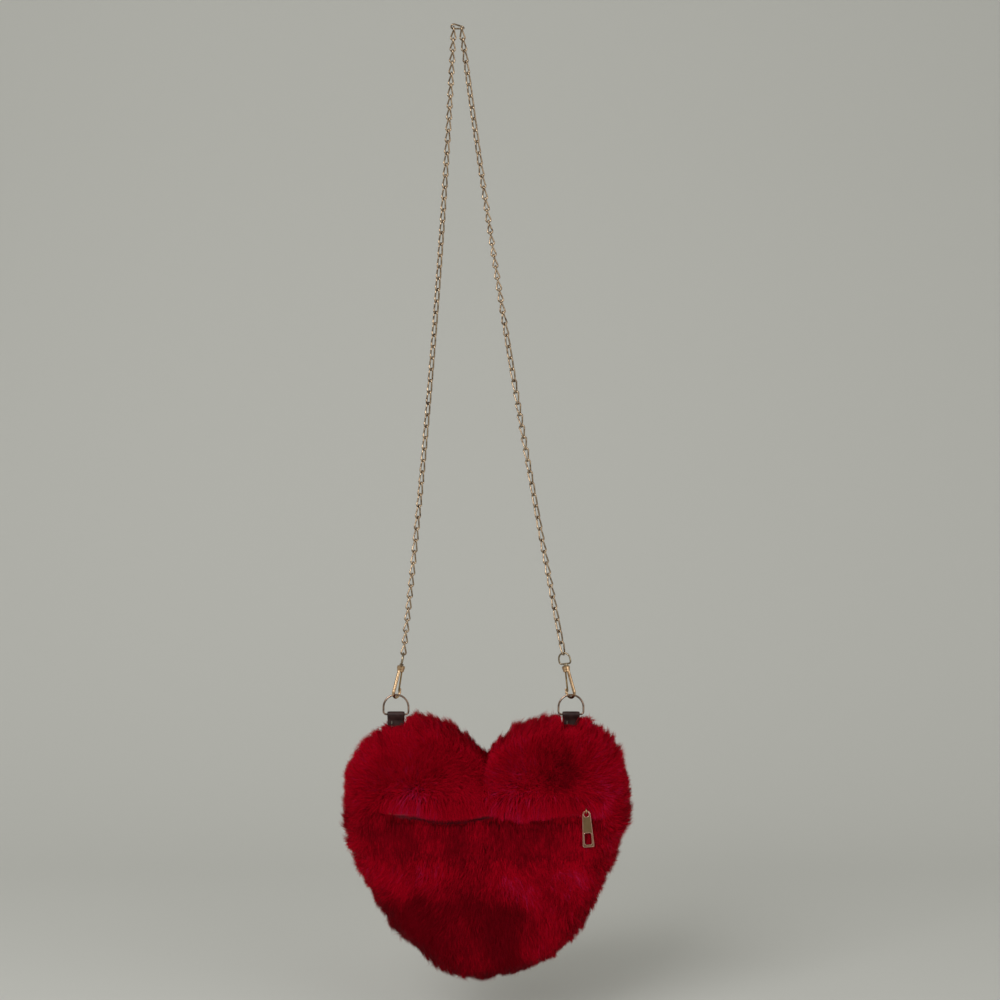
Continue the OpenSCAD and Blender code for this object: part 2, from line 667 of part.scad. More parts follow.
module slider_plate(y) {
    translate([slider_x, y, zip_z]) rotate([90, 0, 0]) linear_extrude(slider_plate_t, center = true) union() {
        square([slider_len - 2 * slider_corner_r, slider_h], center = true);
        square([slider_len, slider_h - 2 * slider_corner_r], center = true);
        for (sx = [-1, 1]) for (sz = [-1, 1])
            translate([sx * (slider_len / 2 - slider_corner_r), sz * (slider_h / 2 - slider_corner_r)])
                circle(r = slider_corner_r);
    }
}

// Two plates with turned in rims, joined by the wedge that parts the teeth, and the puller loop.
module zip_slider() {
    rim_reach = slider_inside - tape_t / 2 - slider_rim_play;
    color("#9c8354") {
        slider_plate(-zip_depth - slider_inside - slider_plate_t / 2);
        slider_plate(-zip_depth + slider_inside + slider_plate_t / 2);
        for (front = [-1, 1]) for (up = [-1, 1])
            translate([slider_x, -zip_depth + front * (slider_inside - rim_reach / 2 + slider_plate_t / 4),
                zip_z + up * (slider_h - slider_rim_t) / 2])
                cube([slider_len - 2 * slider_corner_r, rim_reach + slider_plate_t / 2, slider_rim_t],
                    center = true);
        translate([slider_x + slider_len / 2 - wedge_len, -zip_depth, zip_z])
            cube([wedge_len, 2 * slider_inside + slider_plate_t, wedge_t], center = true);
        translate([slider_x, bail_y, zip_z + bail_rise]) rotate([0, 90, 0])
            rotate_extrude() translate([bail_r, 0]) circle(d = bail_wire_d);
    }
}

// The puller's plate before it is cut: a round top about the eye, and rounded lower corners.
module puller_blank() {
    translate([0, puller_eye_z, 0]) cylinder(h = puller_t, d = puller_top_w, center = true);
    linear_extrude(puller_t, center = true) polygon([
        [-puller_top_w / 2, puller_eye_z], [puller_top_w / 2, puller_eye_z],
        [puller_low_half, puller_low + puller_corner_r], [puller_low_half - puller_corner_r, puller_low],
        [puller_corner_r - puller_low_half, puller_low], [-puller_low_half, puller_low + puller_corner_r]]);
    for (side = [LEFT, RIGHT])
        translate([side * (puller_low_half - puller_corner_r), puller_low + puller_corner_r, 0])
            cylinder(h = puller_t, r = puller_corner_r, center = true);
}

// The long slot, its four corners rounded.
module puller_slot_cut() {
    half = puller_slot_w / 2 - puller_slot_r;
    h = puller_t + 2 * overrun;
    for (side = [LEFT, RIGHT]) for (z = [puller_slot_r, puller_slot_len - puller_slot_r])
        translate([side * half, z, 0]) cylinder(h = h, r = puller_slot_r, center = true);
    translate([0, puller_slot_len / 2, 0]) {
        cube([puller_slot_w, puller_slot_len - 2 * puller_slot_r, h], center = true);
        cube([2 * half, puller_slot_len, h], center = true);
    }
}

// The puller hangs by the rim above its round eye, which lies in the slider's loop, a little aside.
module zip_puller() {
    color("#b39a66") translate([slider_x, bail_y, zip_z + bail_rise])
        rotate([90, 0, 0]) rotate([0, 0, puller_lean]) difference() {
            union() puller_blank();
            translate([0, puller_eye_z, 0])
                cylinder(h = puller_t + 2 * overrun, d = puller_eye_d, center = true);
            translate([0, puller_low + puller_slot_margin, 0]) puller_slot_cut();
        }
}

hang_link();
chain_left_upper();
chain_left_lower();
chain_right_upper();
chain_right_lower();
swivel_eye_left();
swivel_eye_right();
hook_left();
hook_right();
gate_left();
gate_right();
gate_pin_left();
gate_pin_right();
gate_spring_left();
gate_spring_right();
d_ring_left();
d_ring_right();
tab_left();
tab_right();
tab_stitching_left();
tab_stitching_right();
front_fur();
back_fur();
front_lining();
back_lining();
seam_binding();
zip_tape_upper();
zip_tape_lower();
zip_teeth_upper();
zip_teeth_lower();
zip_stop_closed();
zip_stop_open();
zip_slider();
zip_puller();
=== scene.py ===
"""A heart shaped purse of red faux fur on a gilt chain strap: its pile, cloth, metal parts and studio."""

from __future__ import annotations

import logging
import math
from dataclasses import dataclass, field
from enum import Enum
from functools import cached_property

import bpy
import numpy as np
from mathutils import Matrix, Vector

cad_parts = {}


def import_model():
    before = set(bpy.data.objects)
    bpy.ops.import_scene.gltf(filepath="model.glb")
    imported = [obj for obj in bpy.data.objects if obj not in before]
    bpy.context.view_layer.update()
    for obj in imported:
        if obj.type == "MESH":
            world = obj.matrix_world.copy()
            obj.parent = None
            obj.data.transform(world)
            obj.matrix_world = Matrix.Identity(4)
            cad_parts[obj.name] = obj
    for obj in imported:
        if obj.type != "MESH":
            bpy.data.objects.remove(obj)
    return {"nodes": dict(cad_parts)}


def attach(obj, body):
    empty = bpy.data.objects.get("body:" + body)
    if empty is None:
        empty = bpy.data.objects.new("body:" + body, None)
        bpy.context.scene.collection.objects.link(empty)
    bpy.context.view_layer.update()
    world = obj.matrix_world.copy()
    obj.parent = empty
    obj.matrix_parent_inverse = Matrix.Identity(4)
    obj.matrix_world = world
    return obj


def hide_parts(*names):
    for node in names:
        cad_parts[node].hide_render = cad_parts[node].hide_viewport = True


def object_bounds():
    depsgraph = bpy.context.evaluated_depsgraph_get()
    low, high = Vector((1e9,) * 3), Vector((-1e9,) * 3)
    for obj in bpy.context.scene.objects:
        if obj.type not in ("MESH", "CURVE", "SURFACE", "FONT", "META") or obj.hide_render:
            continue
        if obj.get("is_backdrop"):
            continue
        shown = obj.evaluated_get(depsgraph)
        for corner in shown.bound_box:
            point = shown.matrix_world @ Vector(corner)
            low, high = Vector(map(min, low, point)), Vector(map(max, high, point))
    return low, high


LOG = logging.getLogger("purse")
MM_PER_M = 1000
FIBRE_MAP = "fibre"
DOWN = np.array([0, 0, -1.0])
Array = np.ndarray
Material = bpy.types.Material
Node = bpy.types.Node
Socket = bpy.types.NodeSocket
Span = tuple[float, float]
Triple = tuple[float, float, float]
Chance = np.random.Generator


# Colours and nodes


def linear(hex_colour: str) -> tuple[float, float, float, float]:
    """Turns an sRGB hex colour into the linear one that a shader works with.

    Args:
        hex_colour: six hex digits after a hash, such as "#8a0616".

    Returns:
        Linear red, green and blue, and an alpha of 1.
    """
    parts = [int(hex_colour[i : i + 2], 16) / 255 for i in (1, 3, 5)]
    red, green, blue = [c / 12.92 if c <= 0.04045 else ((c + 0.055) / 1.055) ** 2.4 for c in parts]
    return red, green, blue, 1.0


def per_mm(size_mm: float) -> float:
    """Gives the texture scale at which one cell of a pattern has a real size."""
    return MM_PER_M / size_mm


class Surface:
    """A material in the making: its node tree and its principled shader."""

    def __init__(self, name: str) -> None:
        """Makes the empty material.

        Args:
            name: its name.
        """
        self.material = bpy.data.materials.new(name)
        self.material.use_nodes = True
        self.tree = self.material.node_tree
        self.shader = self.tree.nodes["Principled BSDF"]

    @cached_property
    def place(self) -> Socket:
        """Gives the object's own coordinates."""
        return self.add("TexCoord").outputs["Object"]

    def add(self, kind: str, links: dict | None = None, values: dict | None = None, **settings) -> Node:
        """Adds one node.

        Args:
            kind: the node's type, without its "ShaderNode".
            links: input name or number to the output that feeds it.
            values: input name or number to its own value.
            **settings: properties of the node itself.

        Returns:
            The new node.
        """
        node = self.tree.nodes.new("ShaderNode" + kind)
        for name, value in settings.items():
            setattr(node, name, value)
        self.fill(node, links or {}, values or {})
        return node

    def fill(self, node: Node, links: dict, values: dict) -> None:
        """Sets a node's inputs.

        Args:
            node: the node.
            links: input name or number to the output that feeds it.
            values: input name or number to its own value.
        """
        for name, value in values.items():
            node.inputs[name].default_value = value
        for name, output in links.items():
            self.tree.links.new(output, node.inputs[name])

    def noise(self, size_mm: float, detail: float, roughness: float = 0.5) -> Socket:
        """Adds cloudy noise."""
        values = {"Scale": per_mm(size_mm), "Detail": detail, "Roughness": roughness}
        return self.add("TexNoise", {"Vector": self.place}, values).outputs["Fac"]

    def ramp(self, source: Socket, *stops: tuple[float, str]) -> Socket:
        """Adds a colour ramp.

        Args:
            source: the output that runs through the ramp.
            *stops: places from 0 to 1, each with its hex colour.

        Returns:
            The ramp's colour output.
        """
        node = self.add("ValToRGB", {"Fac": source})
        while len(node.color_ramp.elements) < len(stops):
            node.color_ramp.elements.new(0.5)
        for element, (place, colour) in zip(node.color_ramp.elements, stops):
            element.position = place
            element.color = linear(colour)
        return node.outputs["Color"]

    def ranged(self, source: Socket, old: Span, new: Span) -> Socket:
        """Carries one range of values onto another, clamped at its ends."""
        ends = {"From Min": old[0], "From Max": old[1], "To Min": new[0], "To Max": new[1]}
        return self.add("MapRange", {"Value": source}, ends).outputs["Result"]

    def blended(self, share: Socket, base: Socket, colour: str) -> Socket:
        """Blends a colour into another. The node's colour inputs are numbers 6 and 7, its colour output 2."""
        mix = self.add("Mix", {0: share, 6: base}, {7: linear(colour)}, data_type="RGBA")
        return mix.outputs[2]

    def computed(self, operation: str, first: Socket, second: Socket) -> Socket:
        """Adds or multiplies two values."""
        return self.add("Math", {0: first, 1: second}, operation=operation).outputs["Value"]

    def relief(self, height: Socket, strength: float, depth: float, invert: bool = False) -> Socket:
        """Turns a height into a surface relief."""
        values = {"Strength": strength, "Distance": depth}
        return self.add("Bump", {"Height": height}, values, invert=invert).outputs["Normal"]

    def finished(self, links: dict, values: dict) -> Material:
        """Feeds the shader."""
        self.fill(self.shader, links, values)
        return self.material


@dataclass(frozen=True)
class PlatedMetal:
    """Thin bright plating on cast or drawn metal: polished, with cloudy wear and a darker tone in patches.

    The wear's noise turns from dull to bright over tone_at. Over rough_at the roughness falls from rough_dull
    to rough_bright times its value.
    """

    name: str
    bright: str = "#c9a878"
    dull: str = "#8a6b42"
    roughness: float = 0.24
    wear_mm: float = 3.0
    tone_at: Span = (0.28, 0.56)
    rough_at: Span = (0.3, 0.7)
    rough_dull: float = 1.5
    rough_bright: float = 0.75
    grain_mm: float = 0.9
    grain_depth: float = 0.0000025
    grain_strength: float = 0.35

    def make(self) -> Material:
        """Makes the plating.

        Returns:
            The finished material.
        """
        surface = Surface(self.name)
        wear = surface.noise(self.wear_mm, detail=4.0, roughness=0.6)
        ends = (self.roughness * self.rough_dull, self.roughness * self.rough_bright)
        grain = surface.noise(self.grain_mm, detail=2.0)
        return surface.finished({
            "Base Color": surface.ramp(wear, (self.tone_at[0], self.dull), (self.tone_at[1], self.bright)),
            "Roughness": surface.ranged(wear, self.rough_at, ends),
            "Normal": surface.relief(grain, self.grain_strength, self.grain_depth),
        }, {"Metallic": 1.0})


@dataclass(frozen=True)
class GrainedStrap:
    """Coated leather strap: nearly black brown, a fine pebbled grain with a low sheen and paler scuffs."""

    name: str
    face: str = "#220f0c"
    scuff: str = "#3a231f"
    tone_at: Span = (0.4, 0.75)
    scuff_mm: float = 4.0
    roughness: Span = (0.38, 0.62)
    rough_at: Span = (0.3, 0.7)
    grain_mm: float = 0.7
    grain_depth: float = 0.0001
    grain_strength: float = 0.5
    gloss: float = 0.3

    def make(self) -> Material:
        """Makes the strap leather.

        Returns:
            The finished material.
        """
        surface = Surface(self.name)
        scale = {"Scale": per_mm(self.grain_mm)}
        cells = surface.add("TexVoronoi", {"Vector": surface.place}, scale, feature="SMOOTH_F1")
        pebble = cells.outputs["Distance"]
        scuffs = surface.noise(self.scuff_mm, detail=5.0)
        return surface.finished({
            "Base Color": surface.ramp(scuffs, (self.tone_at[0], self.face), (self.tone_at[1], self.scuff)),
            "Roughness": surface.ranged(scuffs, self.rough_at, self.roughness),
            "Normal": surface.relief(pebble, self.grain_strength, self.grain_depth, invert=True),
        }, {"Specular IOR Level": self.gloss})


@dataclass(frozen=True)
class WovenCloth:
    """Plain woven cloth: crossing threads, each a small ridge, with slubs that change its tone.

    The wave texture turns by wave_radians for each unit at a scale of 1.
    """

    name: str
    light: str = "#5d0a14"
    dark: str = "#2e040a"
    tone_at: Span = (0.3, 1.0)
    thread_mm: float = 0.6
    slub_mm: float = 5.0
    roughness: float = 0.7
    gloss: float = 0.15
    ridge_depth: float = 0.0001
    ridge_strength: float = 0.6
    wave_radians: float = 20
    wobble: float = 0.4
    wobble_detail: float = 1.0

    def make(self) -> Material:
        """Makes the cloth.

        Returns:
            The finished material.
        """
        surface = Surface(self.name)
        scale = per_mm(self.thread_mm) / self.wave_radians * math.pi
        values = {"Scale": scale, "Distortion": self.wobble, "Detail": self.wobble_detail}
        waves = [
            surface.add("TexWave", {"Vector": surface.place}, values, wave_type="BANDS", bands_direction=way)
            for way in ("X", "Z")
        ]
        weave = surface.computed("MULTIPLY", *(wave.outputs["Fac"] for wave in waves))
        slubbed = surface.computed("ADD", weave, surface.noise(self.slub_mm, detail=3.0))
        return surface.finished({
            "Base Color": surface.ramp(slubbed, (self.tone_at[0], self.dark), (self.tone_at[1], self.light)),
            "Normal": surface.relief(weave, self.ridge_strength, self.ridge_depth),
        }, {"Roughness": self.roughness, "Specular IOR Level": self.gloss})


@dataclass(frozen=True)
class MouldedPlastic:
    """Moulded plastic in one colour with a soft gloss, uneven where the mould was."""

    name: str
    face: str = "#4b0c14"
    shade: str = "#2c060b"
    tone_at: Span = (0.3, 0.7)
    roughness: float = 0.42
    mould_mm: float = 1.5
    mould_depth: float = 0.0001
    mould_strength: float = 0.3

    def make(self) -> Material:
        """Makes the plastic.

        Returns:
            The finished material.
        """
        surface = Surface(self.name)
        mould = surface.noise(self.mould_mm, detail=3.0)
        return surface.finished({
            "Base Color": surface.ramp(mould, (self.tone_at[0], self.shade), (self.tone_at[1], self.face)),
            "Normal": surface.relief(mould, self.mould_strength, self.mould_depth),
        }, {"Roughness": self.roughness})


@dataclass(frozen=True)
class PileFibre:
    """Dyed acrylic pile: painted shade at the root, redder up the fibre, a painted pink sheen and a little
    gloss at some tips.

    The fibre's own UV map carries its tone across and the way from root to tip upwards. Fibres whose tone
    lies high turn towards the painted pink sheen at their tips, those whose tone lies low towards a painted
    shade colour all along.
    """

    name: str
    # The root colour is painted shade where fibres hide each other; the pink colour after the tip is a
    # painted sheen, and the darkest one is painted shade.
    root: str = "#3c0005"
    body: str = "#8c0010"
    tip: str = "#a8021a"
    painted_sheen: str = "#b22c66"
    shadow: str = "#2e0003"
    body_at: float = 0.4
    painted_sheen_at: Span = (0.78, 1.0)
    painted_sheen_share: Span = (0.0, 0.55)
    shadow_at: Span = (0.0, 0.45)
    shadow_share: Span = (0.75, 0.0)
    roughness: float = 0.55
    gloss: float = 0.12
    gloss_tint: str = "#ff5070"

    def make(self) -> Material:
        """Makes the pile.

        Returns:
            The finished material.
        """
        surface = Surface(self.name)
        fibre = surface.add("UVMap", uv_map=FIBRE_MAP)
        split = surface.add("SeparateXYZ", {"Vector": fibre.outputs["UV"]})
        tone, along = split.outputs["X"], split.outputs["Y"]
        # Painted shade at the root, where the fibres hide each other, lifting towards the tip
        painted_root_shade_ramp = surface.ramp(along, (0.0, self.root), (self.body_at, self.body), (1.0, self.tip))
        # Painted pink sheen towards the tips of fibres whose tone is high, painted shade along fibres whose
        # tone is low
        painted_sheen_patches = surface.computed("MULTIPLY", surface.ranged(tone, self.painted_sheen_at, self.painted_sheen_share), along)
        pale = surface.blended(painted_sheen_patches, painted_root_shade_ramp, self.painted_sheen)
        painted_shade = surface.ranged(tone, self.shadow_at, self.shadow_share)
        return surface.finished({"Base Color": surface.blended(painted_shade, pale, self.shadow)}, {
            "Roughness": self.roughness,
            "Specular IOR Level": self.gloss,
            "Specular Tint": linear(self.gloss_tint),
        })


# Mesh building


def mesh_piece(
    name: str, points: Array, faces: list[Array], material: Material, uv: Array | None = None
) -> bpy.types.Object:
    """Makes a smooth shaded mesh object from whole arrays.

    Args:
        name: the piece's name.
        points: corners in metres, one row each.
        faces: arrays of corner numbers, each array holding faces with the same number of corners.
        material: its finish.
        uv: a pair for each corner, kept in the fibres' UV map.

    Returns:
        The new object, linked to the scene.
    """
    mesh = bpy.data.meshes.new(name)
    corners = np.concatenate([f.reshape(-1) for f in faces]).astype(np.int32)
    counts = np.concatenate([np.full(len(f), f.shape[1]) for f in faces])
    starts = np.concatenate([[0], np.cumsum(counts)[:-1]]).astype(np.int32)
    mesh.vertices.add(len(points))
    mesh.vertices.foreach_set("co", points.astype(np.float32).reshape(-1))
    mesh.loops.add(len(corners))
    mesh.loops.foreach_set("vertex_index", corners)
    mesh.polygons.add(len(counts))
    mesh.polygons.foreach_set("loop_start", starts)
    mesh.update(calc_edges=True)
    mesh.shade_smooth()
    if uv is not None:
        layer = mesh.uv_layers.new(name=FIBRE_MAP)
        layer.data.foreach_set("uv", uv[corners].astype(np.float32).reshape(-1))
    mesh.materials.append(material)
    piece = bpy.data.objects.new(name, mesh)
    bpy.context.scene.collection.objects.link(piece)
    return piece


def unit(vectors: Array) -> Array:
    """Scales rows to length one."""
    nearly_zero = 1e-12
    return vectors / np.maximum(np.linalg.norm(vectors, axis=-1, keepdims=True), nearly_zero)


def grid_faces(rows: int, columns: int, close_rows: bool, close_columns: bool) -> Array:
    """Numbers the four corners of each face of a grid whose points are stored row by row.

    Args:
        rows: number of rows of points.
        columns: points in a row.
        close_rows: whether the last row joins the first.
        close_columns: whether a row's last point joins its first.

    Returns:
        One row of four corner numbers for each face.
    """
    steps = [np.arange(n if close else n - 1) for n, close in ((rows, close_rows), (columns, close_columns))]
    i, j = (index.ravel() for index in np.meshgrid(*steps, indexing="ij"))
    i2, j2 = (i + 1) % rows, (j + 1) % columns
    return np.stack([i * columns + j, i2 * columns + j, i2 * columns + j2, i * columns + j2], axis=1)


def closed_wire(path: Array, width: float, depth: float, sides: int) -> tuple[Array, Array]:
    """Carries an oval along a closed path: path + width/2 outward cos b + depth/2 across sin b.

    The outward direction points away from the path's middle, at right angles to the path.

    Args:
        path: points along the wire's centre, in order.
        width: the oval's size away from the middle.
        depth: its size across the loop.
        sides: corners of the section.

    Returns:
        Corners and faces.
    """
    along = unit(np.roll(path, -1, axis=0) - np.roll(path, 1, axis=0))
    outward = path - path.mean(axis=0)
    outward = unit(outward - (outward * along).sum(axis=1, keepdims=True) * along)
    across = np.cross(along, outward)
    b = np.arange(sides) / sides * 2 * np.pi
    points = (
        path[:, None]
        + width / 2 * outward[:, None] * np.cos(b)[None, :, None]
        + depth / 2 * across[:, None] * np.sin(b)[None, :, None]
    )
    return points.reshape(-1, 3), grid_faces(len(path), sides, True, True)


def arc(centre: Span, radius: float, start: float, end: float, steps: int) -> Array:
    """Gives points of a flat arc: centre + radius (cos a, sin a)."""
    a = np.radians(np.linspace(start, end, steps))
    return np.stack([centre[0] + radius * np.cos(a), centre[1] + radius * np.sin(a)], axis=1)


def upright(flat: Array) -> Array:
    """Stands flat points up: their first number runs across and their second upwards."""
    return np.stack([flat[:, 0], np.zeros(len(flat)), flat[:, 1]], axis=1)


def turned(points: Array, axis: str, degrees: float) -> Array:
    """Turns points about the Y or Z axis through the origin, counter-clockwise seen against the axis.

    Args:
        points: one row each.
        axis: "Y" or "Z".
        degrees: the angle.

    Returns:
        The turned points.
    """
    c, s = math.cos(math.radians(degrees)), math.sin(math.radians(degrees))
    about = {"Y": [[c, 0, s], [0, 1, 0], [-s, 0, c]], "Z": [[c, -s, 0], [s, c, 0], [0, 0, 1]]}
    return points @ np.array(about[axis]).T


# The heart


class Side(Enum):
    """Which face of the heart."""

    FRONT = -1
    BACK = 1


@dataclass(frozen=True)
class Spot:
    """A round patch of the heart's face: where it is, how wide, and how strongly it acts."""

    x: float
    z: float
    reach: float
    strength: float


@dataclass(frozen=True)
class HeartForm:
    """The heart's outline and depth, in metres.

    The shares are the outline's radii over half the width, one every step degrees from straight up to
    straight down. Each face is a dome, cut flat by a soft minimum over the length blend.
    """

    centre_x: float = 0.0234
    centre_z: float = -0.647057
    half_width: float = 0.114
    step: float = 15.0
    left_shares: tuple[float, ...] = (
        0.51, 0.73, 0.955, 1.05, 1.085, 1.03, 0.965, 0.905, 0.885, 0.915, 0.935, 0.98, 0.98,
    )
    right_shares: tuple[float, ...] = (
        0.51, 0.74, 0.955, 1.09, 1.09, 1.03, 0.935, 0.88, 0.873, 0.92, 0.945, 0.965, 0.98,
    )
    front_flat: float = 0.0276
    back_flat: float = 0.0266
    front_full: float = 0.038
    back_full: float = 0.031
    roundness: float = 6.0
    blend: float = 0.0012
    seam_share: float = 0.004

    def radius(self, angle: Array) -> Array:
        """Gives the outline's radius: a smooth cubic through the shares, times half the width.

        Args:
            angle: degrees from straight up, positive to the right.

        Returns:
            The radius in metres.
        """
        way = (angle + 180) % 360 - 180
        u = np.abs(way) / self.step
        i = np.clip(np.floor(u).astype(int), 0, len(self.left_shares) - 2)
        f = u - i
        result = np.zeros_like(u)
        for shares, here in ((self.left_shares, way < 0), (self.right_shares, way >= 0)):
            row = np.array((2 * shares[0] - shares[1],) + shares + (shares[-2],))
            p0, p1, p2, p3 = (row[i + k] for k in range(4))
            square = p0 - 2.5 * p1 + 2 * p2 - p3 / 2
            cube = (3 * (p1 - p2) + p3 - p0) / 2
            result = np.where(here, p1 + f * (p2 - p0) / 2 + f**2 * square + f**3 * cube, result)
        return result * self.half_width

    def surface(self, angle: Array, share: Array, side: Side, inset: float) -> Array:
        """Gives points of the backing: share of the radius out, and min(flat, full sqrt(1 - share^6)) deep.

        Args:
            angle: degrees from straight up.
            share: 0 in the middle to 1 at the seam.
            side: which face.
            inset: how far the outline is pulled in.

        Returns:
            One point for each pair.
        """
        back = side is Side.BACK
        flat, full = (self.front_flat, self.back_flat)[back], (self.front_full, self.back_full)[back]
        round_depth = full * np.sqrt(np.maximum(0, 1 - share**self.roundness))
        depth = -np.log(np.exp(-round_depth / self.blend) + np.exp(-flat / self.blend)) * self.blend
        depth = np.maximum(depth, 0) * np.clip((1 - share) / self.seam_share, 0, 1)
        out = share * (self.radius(angle) - inset)
        a = np.radians(angle)
        x, z = self.centre_x + out * np.sin(a), self.centre_z + out * np.cos(a)
        return np.stack([x, side.value * np.broadcast_to(depth, out.shape), z], axis=-1)

    def outward(self, places: Array) -> Array:
        """Gives the way from the heart's middle to each place, along the face."""
        return (places - np.array([self.centre_x, 0, self.centre_z])) * np.array([1, 0, 1])


def smooth_step(low: float, high: float, value: Array) -> Array:
    """Rises from 0 at low to 1 at high along 3t^2 - 2t^3."""
    t = np.clip((value - low) / (high - low), 0, 1)
    return t * t * (3 - 2 * t)


def plateau(rise: Span, fall: Span, value: Array) -> Array:
    """Rises smoothly from 0 to 1 over one range and falls back to 0 over another."""
    return smooth_step(*rise, value) * (1 - smooth_step(*fall, value))


def mixed(ends: Span, share: Array) -> Array:
    """Gives first + (second - first) share."""
    return ends[0] + (ends[1] - ends[0]) * share


def lattice_noise(x: Array, z: Array, cell: float, seed: int) -> Array:
    """Gives smooth noise from -1 to 1: random values at square cells, eased between them.

    Args:
        x: one coordinate in metres.
        z: the other.
        cell: the cells' size.
        seed: picks the random values.

    Returns:
        The noise at each place.
    """
    size, shift = 256, 1000
    table = np.random.default_rng(seed).uniform(-1, 1, (size, size))
    u, v = x / cell + shift, z / cell + shift
    i, j = np.floor(u).astype(int), np.floor(v).astype(int)
    fu, fv = smooth_step(0, 1, u - i), smooth_step(0, 1, v - j)
    i, j, i2, j2 = i % size, j % size, (i + 1) % size, (j + 1) % size
    low = table[i, j] * (1 - fu) + table[i2, j] * fu
    high = table[i, j2] * (1 - fu) + table[i2, j2] * fu
    return low * (1 - fv) + high * fv


def cloudy(x: Array, z: Array, cloud: tuple[float, float, int]) -> Array:
    """Gives noise of a cloud's strength, its cells' size and its seed."""
    return cloud[0] * lattice_noise(x, z, cloud[1], cloud[2])


def noise_ways(x: Array, z: Array, cell: float, seed: int) -> Array:
    """Gives smooth noise across and upward, from two seeds in a row."""
    across, upward = (lattice_noise(x, z, cell, seed + k) for k in (0, 1))
    return np.stack([across, np.zeros_like(x), upward], axis=1)


def patches(spots: tuple[Spot, ...], x: Array, z: Array) -> Array:
    """Adds up soft round patches with uneven edges: each strength times exp(-(distance / reach)^2.4).

    Args:
        spots: the patches.
        x: places across.
        z: places upward.

    Returns:
        The sum at each place, 1 at most.
    """
    uneven, cell = 0.005, 0.012
    shift = uneven * noise_ways(x, z, cell, seed=43)
    x, z, total = x + shift[:, 0], z + shift[:, 2], np.zeros_like(x)
    for spot in spots:
        square = ((x - spot.x) ** 2 + (z - spot.z) ** 2) / spot.reach**2
        total += spot.strength * np.exp(-(square**1.2))
    return np.clip(total, 0, 1)


@dataclass
class Roots:
    """Where the fibres of one face stand: place, normal, the way out along the face, and 1 at the rim."""

    place: Array
    normal: Array
    out: Array
    edge: Array

    @property
    def x(self) -> Array:
        """Gives the places across."""
        return self.place[:, 0]

    @property
    def z(self) -> Array:
        """Gives the places upward."""
        return self.place[:, 2]

    def __len__(self) -> int:
        """Counts the fibres."""
        return len(self.place)

    def kept(self, keep: Array) -> Roots:
        """Gives the fibres that are marked."""
        return Roots(self.place[keep], self.normal[keep], self.out[keep], self.edge[keep])


@dataclass
class Coat:
    """How each fibre lies: its way along the face, height, length, tone, and its pull towards its tuft."""

    flow: Array
    height: Array
    length: Array
    tone: Array
    pull: Array


@dataclass(frozen=True)
class ZipOpening:
    """The bare strip over the zip, in metres, and how far below the zip the pile above it hangs.

    Each dip of the hanging edge is its depth, its place and its reach.
    """

    z: float = -0.623257
    left: float = -0.0545
    right: float = 0.1091
    half: float = 0.0055
    side_fade: float = 0.0004
    end_fade: float = 0.0005
    least_sag: float = 0.0014
    dips: tuple[Triple, ...] = (
        (0.0058, -0.006, 0.028), (0.0046, 0.052, 0.018), (0.0036, 0.104, 0.012),
    )

    def strip(self, x: Array, z: Array) -> Array:
        """Tells how much a place lies in the bare strip."""
        beside = smooth_step(self.half - self.side_fade, self.half + self.side_fade, np.abs(z - self.z))
        return (1 - beside) * self.between_ends(x, self.end_fade)

    def between_ends(self, x: Array, fade: float) -> Array:
        """Tells how much a place lies between the zip's ends."""
        return plateau((self.left - fade, self.left), (self.right, self.right + fade), x)

    def covers(self, places: Array) -> Array:
        """Marks the places in the strip."""
        x, z = places[:, 0], places[:, 2]
        return (np.abs(z - self.z) < self.half) & (x > self.left) & (x < self.right)

    def sag(self, x: Array) -> Array:
        """Gives how far below the zip the overhanging pile's edge lies: the deepest of the dips there."""
        dips = [depth * np.exp(-(((x - middle) / reach) ** 2)) for depth, middle, reach in self.dips]
        return self.least_sag + np.max(dips, axis=0)


